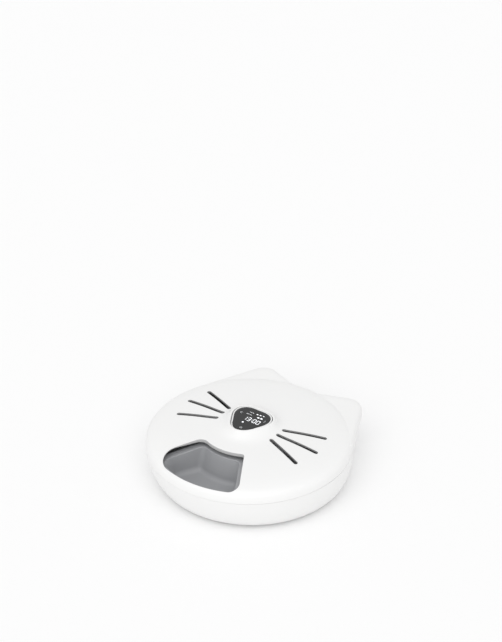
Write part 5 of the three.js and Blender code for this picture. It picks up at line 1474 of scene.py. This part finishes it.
class FEEDER_OT_stage(bpy.types.Operator):
    """Set up the floor, the light and the camera"""
    bl_idname = "feeder.stage"
    bl_label = "Stage"

    def execute(self, context):
        settings = context.scene.pet_feeder.stage
        self.floor(settings)
        self.world(context.scene, settings)
        self.lamp(settings)
        self.camera(context.scene)
        context.scene.view_settings.view_transform = "Standard"
        return {"FINISHED"}

    def floor(self, settings):
        half = FLOOR_HALF
        mesh = bpy.data.meshes.new("floor")
        mesh.from_pydata([(-half, -half, 0), (half, -half, 0), (half, half, 0), (-half, half, 0)], [],
                         [(0, 1, 2, 3)])
        floor = bpy.data.objects.new("floor", mesh)
        bpy.context.scene.collection.objects.link(floor)
        material, _, _, shader = new_material("floor_paper")
        shader.inputs["Base Color"].default_value = linear(settings.floor)
        shader.inputs["Roughness"].default_value = PAPER_ROUGHNESS
        shader.inputs["Specular IOR Level"].default_value = PAPER_GLOSS
        mesh.materials.append(material)

    def world(self, scene, settings):
        """An even light, behind which rays that show the surroundings see one pale tone."""
        world = bpy.data.worlds.new("studio")
        scene.world = world
        world.use_nodes = True
        nodes, links = world.node_tree.nodes, world.node_tree.links
        nodes.clear()
        light, seen = nodes.new("ShaderNodeBackground"), nodes.new("ShaderNodeBackground")
        for background, tone, strength in ((light, 1, settings.sky), (seen, BACKDROP, 1)):
            background.inputs["Color"].default_value = (tone, tone, tone, 1)
            background.inputs["Strength"].default_value = strength
        path = nodes.new("ShaderNodeLightPath")
        total = path.outputs["Is Camera Ray"]
        for ray in ("Is Glossy Ray", "Is Transmission Ray"):
            either = nodes.new("ShaderNodeMath")
            either.operation = "MAXIMUM"
            links.new(total, either.inputs[0])
            links.new(path.outputs[ray], either.inputs[1])
            total = either.outputs[0]
        mix, out = nodes.new("ShaderNodeMixShader"), nodes.new("ShaderNodeOutputWorld")
        links.new(total, mix.inputs["Fac"])
        links.new(light.outputs[0], mix.inputs[1])
        links.new(seen.outputs[0], mix.inputs[2])
        links.new(mix.outputs[0], out.inputs["Surface"])

    def lamp(self, settings):
        data = bpy.data.lights.new("key", "SUN")
        data.energy = settings.key
        data.angle = settings.softness
        lamp = bpy.data.objects.new("key", data)
        lamp.location = LAMP_PLACE
        lamp.rotation_euler = (-lamp.location).to_track_quat("-Z", "Y").to_euler()
        bpy.context.scene.collection.objects.link(lamp)

    def camera(self, scene):
        azimuth, pitch = math.radians(CAMERA_AZIMUTH), math.radians(CAMERA_PITCH)
        data = bpy.data.cameras.new("camera")
        data.lens, data.sensor_width = LENS, SENSOR
        data.clip_start, data.clip_end = CLIPS
        camera = bpy.data.objects.new("camera", data)
        along = Vector((-math.sin(azimuth), math.cos(azimuth), 0))
        across = Vector((math.cos(azimuth), math.sin(azimuth), 0))
        start = Vector((HUB[0], HUB[1], CAMERA_HEIGHT))
        camera.location = start - along * CAMERA_DISTANCE + across * CAMERA_SIDE
        look = along * math.cos(pitch) - Vector((0, 0, math.sin(pitch)))
        camera.rotation_euler = look.to_track_quat("-Z", "Y").to_euler()
        scene.collection.objects.link(camera)
        scene.camera = camera


class FEEDER_PT_panel(bpy.types.Panel):
    """Buttons and settings of the feeder"""
    bl_label = "Pet feeder"
    bl_idname = "FEEDER_PT_panel"
    bl_space_type = "VIEW_3D"
    bl_region_type = "UI"
    bl_category = "Feeder"

    def draw(self, context):
        column = self.layout.column(align=True)
        for operator in OPERATORS:
            column.operator(operator.bl_idname)
        settings = context.scene.pet_feeder
        for part in ("finishes", "lid", "tray", "packs", "base", "display", "stage"):
            box = self.layout.box()
            box.label(text=part.capitalize())
            values = getattr(settings, part)
            for key in values.bl_rna.properties.keys():
                if key not in ("rna_type", "name"):
                    box.prop(values, key)


# In the order in which they run
OPERATORS = (FEEDER_OT_stage, FEEDER_OT_lid, FEEDER_OT_lid_ears, FEEDER_OT_lid_tabs, FEEDER_OT_tray,
             FEEDER_OT_ice_packs, FEEDER_OT_base, FEEDER_OT_base_ears, FEEDER_OT_turntable, FEEDER_OT_pod,
             FEEDER_OT_display, FEEDER_OT_inner_parts)
CLASSES = (FinishSettings, LidSettings, TraySettings, PackSettings, BaseSettings, DisplaySettings,
           StageSettings, FeederSettings, *OPERATORS, FEEDER_PT_panel)


def register():
    for cls in CLASSES:
        bpy.utils.register_class(cls)
    bpy.types.Scene.pet_feeder = bpy.props.PointerProperty(type=FeederSettings)


def unregister():
    del bpy.types.Scene.pet_feeder
    for cls in reversed(CLASSES):
        bpy.utils.unregister_class(cls)


def main():
    register()
    for name in ("stage", "lid", "lid_ears", "lid_tabs", "tray", "ice_packs", "base", "base_ears",
                 "turntable", "pod", "display", "inner_parts"):
        getattr(bpy.ops.feeder, name)()


if __name__ == "__main__":
    main()
